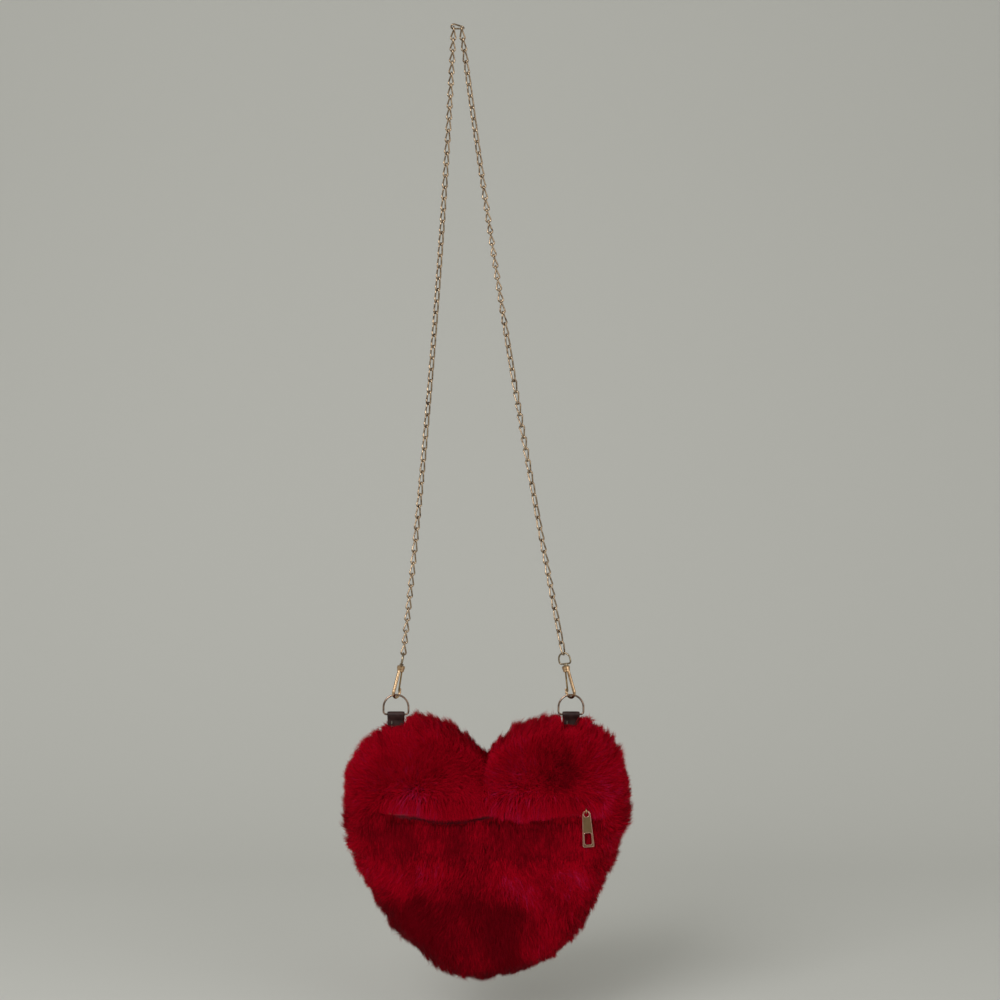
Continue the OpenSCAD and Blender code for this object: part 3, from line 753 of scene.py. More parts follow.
@dataclass(frozen=True)
class Brushing:
    """The way the pile is brushed: away from each lobe's crown above the zip, down and outward below it.

    Lengths are in metres. A pair such as away holds a share for the middle of the face and one for its rim.
    """

    crowns: tuple[Span, Span] = ((-0.026, -0.600), (0.076, -0.597))
    crown_size: Triple = (0.056, 1.0, 0.028)
    crown_bend: float = 0.16
    bend_cell: float = 0.014
    lobes_meet: float = 0.012
    crown_from: float = 0.012
    upper_from: Span = (-0.004, 0.020)
    away: Span = (1.0, 0.4)
    out_above: Span = (0.15, 1.0)
    down: Span = (0.9, 0.15)
    out_below: Span = (0.3, 1.2)
    wander: Span = (1.0, 0.5)
    crown_calm: float = 0.75
    swirl: float = 0.55
    swirl_cell: float = 0.026
    ripple: float = 0.46
    ripple_cell: float = 0.009
    stray: Triple = (0.25, 0.075, 0.25)

    def ways(self, roots: Roots, form: HeartForm, zip_z: float, rng: Chance) -> Array:
        """Gives the way of each fibre.

        Args:
            roots: the fibres' roots.
            form: the heart.
            zip_z: the zip's height.
            rng: source of chance.

        Returns:
            A direction for each fibre, not of length one.
        """
        x, z, edge = roots.x, roots.z, roots.edge[:, None]
        right = smooth_step(form.centre_x - self.lobes_meet, form.centre_x + self.lobes_meet, x)
        crown_x, crown_z = (mixed(ends, right) for ends in zip(*self.crowns))
        away = np.stack([x - crown_x, np.zeros_like(x), z - crown_z], axis=1) / self.crown_size
        away += self.crown_bend * noise_ways(x, z, self.bend_cell, seed=25)
        away /= np.maximum(np.linalg.norm(away, axis=1), 1)[:, None]
        near_crown = (1 - np.linalg.norm(away, axis=1)) * smooth_step(zip_z, zip_z + self.crown_from, z)
        upper = smooth_step(zip_z + self.upper_from[0], zip_z + self.upper_from[1], z)[:, None]
        lower = DOWN * mixed(self.down, edge) + roots.out * mixed(self.out_below, edge)
        above = away * mixed(self.away, edge) + roots.out * mixed(self.out_above, edge)
        wander = self.swirl * noise_ways(x, z, self.swirl_cell, seed=5)
        wander += self.ripple * noise_ways(x, z, self.ripple_cell, seed=15)
        wander *= mixed(self.wander, edge) * (1 - self.crown_calm * near_crown[:, None])
        return above * upper + lower * (1 - upper) + wander + rng.normal(0, 1, (len(roots), 3)) * self.stray


@dataclass(frozen=True)
class FrontPile:
    """What is special in the front's pile: a lip that hangs over the zip, a flat band below, and its tones
    with painted light and shade.

    Lengths are in metres. Heights such as lip_top count from the zip, and left_gap from the zip's left end.
    To the right of mingle both sides' pile meets over the zip, to the left a thin dark line stays open.
    """

    opening: ZipOpening = ZipOpening()
    # The lip that hangs over the zip
    lip_top: Span = (0.010, 0.0165)
    lip_fade: float = 0.006
    lip_height: float = 0.0016
    lip_fall: float = 1.3
    lip_least: float = 0.3
    lip_longest: float = 0.022
    lip_jitter: float = 0.04
    # The open line under the lip, and where both sides mingle
    line_wave: Span = (0.0003, 0.0016)
    line_cell: float = 0.0045
    line_width: float = 0.0013
    line_from: float = 0.006
    mingle: Span = (0.022, 0.034)
    mingle_extra: float = 0.0022
    # The flat band that the puller hangs over
    band_z: Span = (-0.672, -0.650)
    band_top: Span = (0.002, 0.006)
    band_left: Span = (-0.024, 0.002)
    band_right: Span = (0.1065, 0.122)
    band_wander: Span = (0.004, 0.006)
    band_cells: Span = (0.013, 0.011)
    band_height: float = 0.0012
    band_shorter: float = 0.3
    band_fall: float = 0.9
    own_way_lost: float = 0.75
    pull_lost: float = 0.55
    hollow_lower: float = 0.5
    # Fibres that rise from below the zip
    rise_reach: Span = (0.007, 0.003)
    rise_most: float = 0.55
    rise_fade: float = 0.003
    rise_spread: Span = (0.7, 1.04)
    rise_height: Span = (0.0013, 0.5)
    rise_way: Span = (1.2, 0.1)
    least_rise: float = 0.001
    # The gap under the lip and its left end
    gap: float = 0.0012
    left_gap: Span = (0.004, 0.012)
    left_climb: float = 0.0032
    left_climb_at: Span = (0.002, 0.010)
    bare_length: float = 0.0008
    bare_height: float = 0.0004
    # Hollows, lowered and darkened with painted shade, and patches of painted pink sheen
    hollows: tuple[Spot, ...] = (
        Spot(-0.028, -0.704, 0.021, 1.4),
        Spot(0.034, -0.702, 0.015, 1.0),
        Spot(0.078, -0.590, 0.018, 0.8),
        Spot(-0.012, -0.724, 0.018, 0.6),
        Spot(0.035, -0.722, 0.016, 0.5),
        Spot(0.010, -0.687, 0.014, 0.45),
        Spot(0.040, -0.742, 0.016, 0.5),
        Spot(-0.006, -0.594, 0.020, 0.3),
    )
    painted_sheen_patches: tuple[Spot, ...] = (
        Spot(-0.022, -0.670, 0.015, 1.0),
        Spot(-0.001, -0.711, 0.011, 1.0),
        Spot(0.042, -0.679, 0.018, 0.9),
        Spot(0.082, -0.684, 0.024, 0.8),
        Spot(0.110, -0.640, 0.020, 0.75),
        Spot(0.114, -0.598, 0.018, 0.65),
        Spot(-0.058, -0.668, 0.018, 0.6),
        Spot(-0.060, -0.610, 0.014, 0.5),
        Spot(0.062, -0.725, 0.018, 0.6),
        Spot(-0.028, -0.614, 0.016, 0.15),
    )
    # Tone: painted sheen, a painted highlight on the lip, painted light above the zip, painted shade in the
    # hollows, at the low end and on the lower rim, and a darker band
    painted_sheen_tone: float = 0.10
    painted_sheen_streak: float = 0.30
    streak_cell: float = 0.0011
    streak_long: float = 0.3
    painted_sheen_tip: float = 0.5
    painted_sheen_rare: float = 0.88
    hollow_painted_shade: float = 0.66
    band_tone: float = 0.42
    lip_painted_highlight: float = 0.08
    lip_lit: float = 0.011
    upper_painted_light: float = 0.05
    low_painted_shade: float = 0.24
    low_at: Span = (-0.700, -0.660)
    rim_tone: float = 0.14
    rim_below: float = -0.600

    def band(self, x: Array, z: Array) -> Array:
        """Tells how much a place lies in the flattened band that the puller hangs over.

        Args:
            x: places across.
            z: places upward.

        Returns:
            A share from 0 to 1.
        """
        z = z + self.band_wander[0] * lattice_noise(x, z, self.band_cells[0], seed=45)
        x = x + self.band_wander[1] * lattice_noise(x, z, self.band_cells[1], seed=46)
        top = (self.opening.z + self.band_top[0], self.opening.z + self.band_top[1])
        left = (self.opening.left + self.band_left[0], self.opening.left + self.band_left[1])
        return plateau(self.band_z, top, z) * plateau(left, self.band_right, x)

    def lay(self, roots: Roots, coat: Coat, rng: Chance) -> None:
        """Presses the band flat, hangs the pile above the zip over it, lets the pile below rise, and colours
        it.

        It paints a pink sheen with light streaks on some patches, a highlight on the lip's edge and light
        above the zip, and paints shade into the hollows, the low end and the lower rim; the band is darker.

        Args:
            roots: the fibres' roots.
            coat: the coat, changed in place.
            rng: source of chance.
        """
        x, z, opening = roots.x, roots.z, self.opening
        band, hollow = self.band(x, z), patches(self.hollows, x, z)
        low_lip = 1 - smooth_step(opening.z + self.lip_top[0], opening.z + self.lip_top[1], z)
        lip = low_lip * (z > opening.z) * opening.between_ends(x, self.lip_fade)
        mingled = smooth_step(*self.mingle, x)
        wave = mixed(self.line_wave, mingled) * lattice_noise(x, z * 0, self.line_cell, seed=41)
        line = opening.z - opening.sag(x) + wave
        coat.height *= 1 - self.hollow_lower * hollow
        coat.height = coat.height * (1 - band) + self.band_height * band
        coat.height = coat.height * (1 - lip) + self.lip_height * lip
        coat.length *= 1 - self.band_shorter * band
        coat.flow *= (1 - self.own_way_lost * np.maximum(band, lip))[:, None]
        coat.flow += DOWN * (self.band_fall * band + self.lip_fall * lip)[:, None]
        hang = (z - line) * (1 + self.lip_jitter * rng.normal(0, 1, len(roots))) + self.mingle_extra * mingled
        coat.length = np.where(lip > self.lip_least, np.minimum(hang, self.lip_longest), coat.length)
        self.rise(roots, coat, line, mingled, rng)
        coat.pull *= 1 - self.pull_lost * np.maximum(band, lip)
        # Painted pink sheen in patches, with light streaks and some brighter tips, painted shade in the
        # hollows, and a darker band
        rare = rng.uniform(0, 1, len(roots)) > self.painted_sheen_rare
        streak = lattice_noise(x, z * self.streak_long, self.streak_cell, seed=38)
        painted_sheen = self.painted_sheen_tone + self.painted_sheen_streak * streak + self.painted_sheen_tip * rare
        coat.tone += patches(self.painted_sheen_patches, x, z) * painted_sheen - self.hollow_painted_shade * hollow - self.band_tone * band
        # Painted highlight on the lip's lower edge, painted light above the zip, painted shade towards the
        # bottom and on the lower rim
        coat.tone += self.lip_painted_highlight * lip * (z < opening.z + self.lip_lit)
        coat.tone += self.upper_painted_light * (1 - band) * (z > opening.z)
        coat.tone -= self.low_painted_shade * (1 - smooth_step(*self.low_at, z))
        coat.tone -= self.rim_tone * roots.edge * (z < self.rim_below)

    def rise(self, roots: Roots, coat: Coat, line: Array, mingled: Array, rng: Chance) -> None:
        """Lets some fibres below the zip rise to the hanging edge, and shaves those under the open line.

        Args:
            roots: the fibres' roots.
            coat: the coat, changed in place.
            line: the height of the hanging edge.
            mingled: 1 where both sides meet.
            rng: source of chance.
        """
        x, z, count, opening = roots.x, roots.z, len(roots), self.opening
        below = opening.z - opening.half
        chance = np.minimum((z - below + self.rise_reach[0]) / self.rise_reach[1], self.rise_most)
        lift = (rng.uniform(0, 1, count) < chance) * (z < below) * opening.between_ends(x, self.rise_fade)
        along = x - opening.left
        gap = self.gap * smooth_step(*self.left_gap, along) * (1 - mingled)
        climb = line + self.left_climb * (1 - smooth_step(*self.left_climb_at, along)) - gap - z
        rising = (lift > 0.5) & (climb > self.least_rise)
        up = -DOWN * self.rise_way[0] + coat.flow * self.rise_way[1]
        coat.flow = np.where(rising[:, None], up, coat.flow)
        coat.length = np.where(rising, climb * rng.uniform(*self.rise_spread, count), coat.length)
        low = np.minimum(self.rise_height[0], coat.length * self.rise_height[1])
        coat.height = np.where(rising, low, coat.height)
        bare = (z < below) & (z > line - self.line_width) & (along > self.line_from) & (mingled < 0.5)
        bare &= ~rising
        coat.length = np.where(bare, self.bare_length, coat.length)
        coat.height = np.where(bare, self.bare_height, coat.height)


@dataclass(frozen=True)
class Tufts:
    """How fibres group in tufts: small square cells on the face, and steps along the outline at the rim."""

    face: float = 0.0026
    rim: float = 0.0021
    uneven: float = 0.3
    face_seed: int = 31
    rim_seed: int = 33

    def at_rim(self, roots: Roots, half_width: float) -> tuple[Array, Array, Array]:
        """Groups the fibres by their place along the outline.

        Args:
            roots: the fibres' roots.
            half_width: half the heart's width.

        Returns:
            The way along the outline to the tuft's middle, how far off the middle is (0 to 1), and a number
            from -1 to 1 for each tuft.
        """
        size = 512
        table = np.random.default_rng(self.rim_seed).uniform(-1, 1, (2, size))
        around = np.arctan2(roots.out[:, 0], roots.out[:, 2]) * half_width / self.rim
        cells = np.floor(around)[:, None] + np.array([-1, 0, 1])
        middles = cells + 0.5 + self.uneven * table[0, cells.astype(int) % size]
        gaps = middles - around[:, None]
        nearest = np.abs(gaps).argmin(axis=1)
        rows = np.arange(len(roots))
        gap = gaps[rows, nearest] * self.rim
        tangent = np.stack([roots.out[:, 2], np.zeros(len(roots)), -roots.out[:, 0]], axis=1)
        off = np.clip(2 * np.abs(gap) / self.rim, 0, 1)
        return tangent * gap[:, None], off, table[1, cells[rows, nearest].astype(int) % size]

    def on_face(self, roots: Roots) -> Array:
        """Gives the way from each root to the nearest tuft's middle, one by chance in each cell.

        Args:
            roots: the fibres' roots.

        Returns:
            The ways, with no depth.
        """
        size = 128
        table = np.random.default_rng(self.face_seed).uniform(0.05, 0.95, (2, size, size))
        i, j = np.floor(roots.x / self.face).astype(int), np.floor(roots.z / self.face).astype(int)
        best, way = np.full(len(roots), np.inf), np.zeros((len(roots), 3))
        for di in (-1, 0, 1):
            for dj in (-1, 0, 1):
                cell = ((i + di) % size, (j + dj) % size)
                across = (i + di + table[0][cell]) * self.face - roots.x
                upward = (j + dj + table[1][cell]) * self.face - roots.z
                distance = across**2 + upward**2
                closer = distance < best
                best = np.where(closer, distance, best)
                way[closer] = np.stack([across, np.zeros_like(across), upward], axis=1)[closer]
        return way


@dataclass(frozen=True)
class TabTrim:
    """Keeps the fibres near the tabs and the rings' bars low, so that both stay in view; sizes in metres."""

    tab_x: Span = (-0.0492, 0.0908)
    tab_half: float = 0.0077
    tab_low: float = -0.5604
    ring_half: float = 0.0135
    ring_low: float = -0.5518
    stubble: float = 0.15
    uneven_low: float = 0.0010
    uneven_half: float = 0.0012
    least_rise: float = 0.0001

    def shares(self, start: Array, mid: Array, tip: Array, rng: Chance) -> Array:
        """Gives the share of each fibre that is kept.

        Args:
            start: the fibres' roots.
            mid: their middles.
            tip: their tips.
            rng: source of chance.

        Returns:
            A share from the stubble's to 1: (limit - root height) / (tip height - root height) near a tab.
        """
        share = np.ones(len(tip))
        rise = np.maximum(tip[:, 2] - start[:, 2], self.least_rise)
        for half, low in ((self.tab_half, self.tab_low), (self.ring_half, self.ring_low)):
            limit = low + rng.normal(0, self.uneven_low, len(tip))
            reach = half + rng.normal(0, self.uneven_half, len(tip))
            fits = np.clip((limit - start[:, 2]) / rise, self.stubble, 1)
            for tab in self.tab_x:
                nearest = np.minimum(np.abs(mid[:, 0] - tab), np.abs(tip[:, 0] - tab))
                share = np.where(nearest < reach, np.minimum(share, fits), share)
        return share


@dataclass
class FurHeart:
    """The heart's knitted backing and the pile that stands on it, in metres.

    Each cloud of the pile's height or tone is its strength, its cells' size and its seed. Pairs such as
    height_spread hold the least and the most by chance; fibres and seeds are for the front and the back.
    """

    form: HeartForm = field(default_factory=HeartForm)
    brushing: Brushing = field(default_factory=Brushing)
    front: FrontPile = field(default_factory=FrontPile)
    tufts: Tufts = field(default_factory=Tufts)
    trim: TabTrim = field(default_factory=TabTrim)
    # The backing's grid
    inset: float = 0.0075
    angles: int = 240
    shares: int = 90
    rim_closer: float = 1.9
    # Where the fibres stand, and how many
    rim_denser: float = 0.5
    denser_at: Span = (0.7, 1.0)
    strip_fibres: float = 0.3
    rim_at: Span = (0.74, 0.96)
    fibres: tuple[int, int] = (210000, 110000)
    seeds: tuple[int, int] = (11, 12)
    # Height, length and width
    pile_height: float = 0.0058
    back_share: float = 0.82
    rim_height: float = 0.0096
    height_cloud: tuple[float, float, int] = (0.30, 0.021, 7)
    height_ripple: tuple[float, float, int] = (0.2, 0.008, 17)
    height_spread: Span = (0.70, 1.18)
    tuft_contrast: float = 0.27
    fibre_length: float = 0.0125
    length_spread: Span = (0.7, 1.15)
    rim_length_spread: Span = (1.02, 1.4)
    fibre_width: float = 0.00034
    width_spread: Span = (0.7, 1.4)
    roll_spread: float = 0.6
    # Tone
    tone_clouds: tuple[tuple[float, float, int], ...] = (
        (0.16, 0.018, 8), (0.10, 0.006, 18), (0.14, 0.0012, 28),
    )
    tone_spread: float = 0.14
    tone_limits: Span = (0.02, 0.98)
    upright_tone: float = 0.06
    # The shape of a fibre
    upright_length: float = 1.06
    pull: float = 0.30
    rim_pull: float = 0.62
    laid_pull: Span = (0.25, 1.0)
    rise_limits: Span = (0.06, 0.95)
    sunk: float = 0.0004
    knee: float = 0.55
    taper: float = 0.85
    # Where the zones meet
    upper_from: float = -0.012
    lower_from: float = -0.690

    def knit(self) -> Material:
        """Makes the backing's dark knit, seen only between the fibres."""
        return WovenCloth("knitted_pile_backing", "#380008", "#1a0003", thread_mm=0.8, roughness=0.9).make()

    def backing_grid(self, side: Side) -> tuple[Array, Array]:
        """Lays the backing out on a grid of angles and shares, closer towards the rim.

        Args:
            side: which face.

        Returns:
            Points and outward normals.
        """
        angle = np.arange(self.angles) / self.angles * 360
        share = 1 - (1 - np.linspace(0, 1, self.shares)) ** self.rim_closer
        points = self.form.surface(angle[None, :], share[:, None], side, self.inset)
        d_angle = np.roll(points, -1, axis=1) - np.roll(points, 1, axis=1)
        normal = unit(np.cross(d_angle, np.gradient(points, axis=0)))
        normal[0] = (0, side.value, 0)
        seam = unit(self.form.outward(points))
        normal[-1] = seam[-1]
        wrong = (normal * (seam + np.array([0, side.value, 0]))).sum(axis=-1) < 0
        normal[wrong] *= -1
        return points, normal

    def make_backing(self, side: Side, material: Material) -> bpy.types.Object:
        """Builds one half of the backing, cut open over the zip.

        Args:
            side: which face.
            material: the knit.

        Returns:
            The piece.
        """
        points, _ = self.backing_grid(side)
        points = points.reshape(-1, 3)
        faces = grid_faces(self.shares, self.angles, False, True)
        if side is Side.FRONT:
            faces = faces[~self.front.opening.covers(points[faces].mean(axis=1))][:, ::-1]
        return mesh_piece(f"{side.name.lower()}_pile_backing", points, [faces], material)

    def roots(self, side: Side, rng: Chance) -> Roots:
        """Spreads the fibres over one face, a little denser at the rim, none over the zip.

        Args:
            side: which face.
            rng: source of chance.

        Returns:
            The fibres' roots.
        """
        count = self.fibres[side is Side.BACK]
        grid, normals = self.backing_grid(side)
        a, b, c = grid[:-1], np.roll(grid, -1, axis=1)[:-1], grid[1:]
        area = np.linalg.norm(np.cross(b - a, c - a), axis=-1)
        rim = np.linspace(0, 1, self.shares)[:-1, None] * np.ones((1, self.angles))
        weight = area * (1 + self.rim_denser * smooth_step(*self.denser_at, rim))
        chance = np.cumsum(weight.ravel()) / weight.sum()
        pick = np.searchsorted(chance, (np.arange(count) + rng.uniform(0, 1, count)) / count)
        i, j = np.unravel_index(np.minimum(pick, weight.size - 1), weight.shape)
        fi, fj = rng.uniform(0, 1, (2, count, 1))

        def between(table: Array) -> Array:
            """Blends a table's four corners around each fibre.

            Args:
                table: a value for each point of the grid.

            Returns:
                A value for each fibre.
            """
            next_j = (j + 1) % self.angles
            low, high = (table[row, j] * (1 - fj) + table[row, next_j] * fj for row in (i, i + 1))
            return low * (1 - fi) + high * fi

        place, normal = between(grid), unit(between(normals))
        out = self.form.outward(place)
        far = np.linalg.norm(out, axis=1) / self.form.radius(np.degrees(np.arctan2(out[:, 0], out[:, 2])))
        roots = Roots(place, normal, unit(out), smooth_step(*self.rim_at, far))
        if side is Side.FRONT:
            roots = roots.kept(self.front.opening.strip(roots.x, roots.z) < self.strip_fibres)
        return roots

    def comb(self, side: Side, roots: Roots, rng: Chance) -> Coat:
        """Lays the pile: its lie, height, length and tone at each fibre.

        Args:
            side: which face.
            roots: the fibres' roots.
            rng: source of chance.

        Returns:
            The coat.
        """
        x, z, count, edge = roots.x, roots.z, len(roots), roots.edge
        flow = self.brushing.ways(roots, self.form, self.front.opening.z, rng)
        low = (1, self.back_share)[side is Side.BACK] * self.pile_height
        cloud = cloudy(x, z, self.height_cloud) * (1 - edge)
        height = mixed((low, self.rim_height), edge) * (1 + cloud + cloudy(x, z, self.height_ripple))
        _, off, chance = self.tufts.at_rim(roots, self.form.half_width)
        height *= rng.uniform(*self.height_spread, count) * (1 + self.tuft_contrast * edge * (chance - off))
        length = self.fibre_length * rng.uniform(*self.length_spread, count)
        length = length * (1 - edge) + height * rng.uniform(*self.rim_length_spread, count) * edge
        tone = 0.5 + sum(cloudy(x, z, cloud) for cloud in self.tone_clouds)
        tone += rng.normal(0, self.tone_spread, count)
        pull = self.pull + edge * rng.uniform(0.0, self.rim_pull, count)
        coat = Coat(flow, height, length, tone, pull)
        if side is Side.FRONT:
            self.front.lay(roots, coat, rng)
        return self.settled(roots, coat)

    def settled(self, roots: Roots, coat: Coat) -> Coat:
        """Lays each way along the face; fibres that are hardly brushed stand up, shorter and a little paler.

        Args:
            roots: the fibres' roots.
            coat: the coat, changed in place.

        Returns:
            The same coat.
        """
        coat.tone = np.clip(coat.tone, *self.tone_limits)
        coat.flow -= (coat.flow * roots.normal).sum(axis=1, keepdims=True) * roots.normal
        laid = np.minimum(np.linalg.norm(coat.flow, axis=1), 1)
        upright = coat.height * self.upright_length
        coat.length = upright + np.maximum(coat.length - upright, 0) * laid
        coat.tone = np.clip(coat.tone + self.upright_tone * (1 - laid) * (1 - roots.edge), *self.tone_limits)
        coat.pull *= mixed(self.laid_pull, np.maximum(laid, roots.edge))
        coat.flow = unit(coat.flow)
        return coat

    def make_pile(self, side: Side, material: Material) -> list[bpy.types.Object]:
        """Grows each fibre: root + L (h (2t - t^2) normal + w (t + t^2) / 2 flow) + t^2 toward.

        L is the length, h and w are its rise and run, and toward is its tuft's pull. Each fibre is a flat
        blade, two spans long, turned by chance about its own length.

        Args:
            side: which face.
            material: the fibre's finish.

        Returns:
            The pieces, each a zone of the face.
        """
        rng = np.random.default_rng(self.seeds[side is Side.BACK])
        roots = self.roots(side, rng)
        coat = self.comb(side, roots, rng)
        rise = np.clip(coat.height / coat.length, *self.rise_limits)
        run = np.sqrt(1 - rise**2)
        along_rim, _, _ = self.tufts.at_rim(roots, self.form.half_width)
        rim = roots.edge[:, None]
        toward = (self.tufts.on_face(roots) * (1 - rim) + along_rim * rim) * coat.pull[:, None]

        def at(t: float) -> Array:
            """Gives each fibre's middle line at t.

            Args:
                t: 0 at the root to 1 at the tip.

            Returns:
                One point for each fibre.
            """
            up, over = rise * (2 * t - t * t), run * (t + t * t) / 2
            bend = roots.normal * up[:, None] + coat.flow * over[:, None]
            return roots.place + bend * coat.length[:, None] + toward * t * t

        start, mid, tip = at(0.0) - roots.normal * self.sunk, at(self.knee), at(1.0)
        cut = self.trim.shares(start, mid, tip, rng)[:, None]
        mid, tip = start + (mid - start) * cut, start + (tip - start) * cut
        first = unit(mid - start)
        flat = unit(np.cross(first, roots.normal))
        roll = rng.normal(0, self.roll_spread, len(roots))[:, None]
        across = flat * np.cos(roll) + np.cross(flat, first) * np.sin(roll)
        across *= (self.fibre_width / 2 * rng.uniform(*self.width_spread, len(roots)))[:, None]
        knee_across = across * self.taper
        points = np.stack([start - across, start + across, mid - knee_across, mid + knee_across, tip], axis=1)
        along = np.array([0, 0, self.knee, self.knee, 1.0])
        uv = np.stack(np.broadcast_arrays(coat.tone[:, None], along[None]), axis=-1)
        pieces = []
        for zone, inside in self.zones(roots.x, roots.z):
            base = (np.arange(inside.sum()) * len(along))[:, None]
            faces = [base + [[0, 1, 3, 2]], base + [[2, 3, 4]]]
            name = f"{side.name.lower()}_pile_{zone}"
            corners, marks = points[inside].reshape(-1, 3), uv[inside].reshape(-1, 2)
            pieces.append(mesh_piece(name, corners, faces, material, marks))
        return pieces

    def zones(self, x: Array, z: Array) -> list[tuple[str, Array]]:
        """Splits the face in six so that no piece is too heavy.

        Args:
            x: places across.
            z: places upward.

        Returns:
            Each zone's name and which fibres are in it.
        """
        left = x < self.form.centre_x
        high, low = z > self.front.opening.z + self.upper_from, z < self.lower_from
        rows = {"upper": high, "middle": ~high & ~low, "lower": low}
        hands = {"left": left, "right": ~left}
        return [(f"{name}_{hand}", row & part) for name, row in rows.items() for hand, part in hands.items()]

    def build(self) -> None:
        """Builds both faces and hides the plain solids that they stand for."""
        # The pile's material carries painted shade and a painted pink sheen
        knit, fibre = self.knit(), PileFibre("dyed_acrylic_pile").make()
        for side, node in ((Side.FRONT, "front_fur"), (Side.BACK, "back_fur")):
            backing = self.make_backing(side, knit)
            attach(backing, "bag")
            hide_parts(node)
            LOG.info("%s with %d faces", backing.name, len(backing.data.polygons))
            for piece in self.make_pile(side, fibre):
                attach(piece, "bag")
                LOG.info("%s with %d faces", piece.name, len(piece.data.polygons))


# The metal parts


class Hand(Enum):
    """Which half of the strap or which fitting."""

    LEFT = -1
    RIGHT = 1


@dataclass
class ChainStrap:
    """Twisted wire links, their two bends a quarter turn apart, in two strands from one top link.

    Sizes are in metres and turns in degrees; a pair is for the left and the right strand. Link i of a strand
    hangs between two contacts. Its turn runs from first_turn to end_turns and swings by twists in waves.
    """

    wire: float = 0.0014
    bend: float = 0.002
    pitch: float = 0.00928
    play: float = 0.0001
    links: int = 55
    upper: int = 27
    first_x: float = 0.003
    bow: float = 0.004
    ends: Span = (-0.043261, 0.084861)
    fitting_x: float = 0.0908
    fitting_length: float = 0.0342
    fitting_lean: float = 10.0
    first_turn: float = 135.0
    end_turns: Span = (135.0, 197.0)
    twists: Span = (42.0, 34.0)
    waves: Span = (0.5, 2.0)

    @property
    def rise(self) -> float:
        """Gives the height of a bend's middle over the link's middle."""
        return (self.pitch + self.play + self.wire) / 2 - self.bend

    @property
    def drop(self) -> float:
        """Gives how much each contact lies lower than the one before, where a strand leans most."""
        end = self.fitting_x - self.fitting_length * math.sin(math.radians(self.fitting_lean))
        return math.sqrt(self.pitch**2 - ((end - self.first_x + 4 * self.bow) / self.links) ** 2)

    def link_path(self) -> Array:
        """Walks once round an upright link: a bend turned -45 degrees, a leg, a bend turned 45, a leg.

        Returns:
            Points along the wire's centre.
        """
        a = np.radians(np.linspace(0, 180, 7))
        flat = upright(np.stack([self.bend * np.cos(a), self.bend * np.sin(a)], axis=1))
        top = turned(flat, "Z", -45) + [0, 0, self.rise]
        low = turned(flat * [-1, 1, -1], "Z", 45) - [0, 0, self.rise]
        t = np.array([0.33, 0.67])[:, None]
        legs = [start[-1] * (1 - t) + end[0] * t for start, end in ((top, low), (low, top))]
        return np.concatenate([top, legs[0], low, legs[1]])

    def contact(self, hand: Hand, i: int) -> float:
        """Gives contact i of a strand: x runs from the first link to the clasp, less 4 bow t (1 - t)."""
        first, t = hand.value * self.first_x, i / self.links
        return first + (self.ends[hand is Hand.RIGHT] - first) * t - hand.value * 4 * self.bow * t * (1 - t)

    def strand(self, hand: Hand, first: int, last: int, top: float) -> tuple[Array, Array]:
        """Builds a run of links in one mesh.

        Args:
            hand: which strand.
            first: its first link.
            last: the link after its last.
            top: the height of the strand's first contact.

        Returns:
            Corners and faces.
        """
        right = hand is Hand.RIGHT
        corners, faces = closed_wire(self.link_path(), self.wire, self.wire, 6)
        points = []
        for i in range(first, last):
            x0, x1 = self.contact(hand, i), self.contact(hand, i + 1)
            t = (i + 0.5) / self.links
            wave = math.sin(2 * math.pi * self.waves[right] * t)
            turn = self.first_turn + (self.end_turns[right] - self.first_turn) * t + self.twists[right] * wave
            link = turned(turned(corners, "Z", turn), "Y", math.degrees(math.atan2(x0 - x1, self.drop)))
            points.append(link + [(x0 + x1) / 2, 0, top - (i + 0.5) * self.drop])
        return np.concatenate(points), np.concatenate([faces + k * len(corners) for k in range(last - first)])

    def build(self, gilt: Material) -> None:
        """Builds the top link and the four runs, each riding on its own body.

        Args:
            gilt: the plating.
        """
        corner = self.bend * math.cos(math.radians(45))
        top_z = self.wire / 2 - corner
        top = top_z - corner + (self.wire + self.play) / 2
        corners, faces = closed_wire(self.link_path(), self.wire, self.wire, 8)
        lean = math.degrees(math.atan(corner / self.rise))
        corners = turned(turned(corners, "Y", 90), "Z", lean) + [0, 0, top_z]
        self.place("top_link", corners, faces, gilt, "hang", "hang_link")
        for hand in Hand:
            side = hand.name.lower()
            for name, first, last in (("upper", 0, self.upper), ("lower", self.upper, self.links)):
                run = self.strand(hand, first, last, top)
                self.place(f"links_{side}_{name}", *run, gilt, f"{side}_strap_{name}", f"chain_{side}_{name}")

    def place(self, name: str, corners: Array, faces: Array, gilt: Material, body: str, node: str) -> None:
        """Makes one run's piece, ties it to its body and hides the solid that it stands for.

        Args:
            name: the piece's name.
            corners: its corners.
            faces: its faces.
            gilt: the plating.
            body: the body it rides on.
            node: the solid it stands for.
        """
        piece = mesh_piece(name, corners, [faces], gilt)
        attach(piece, body)
        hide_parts(node)
        LOG.info("%s with %d faces", name, len(faces))


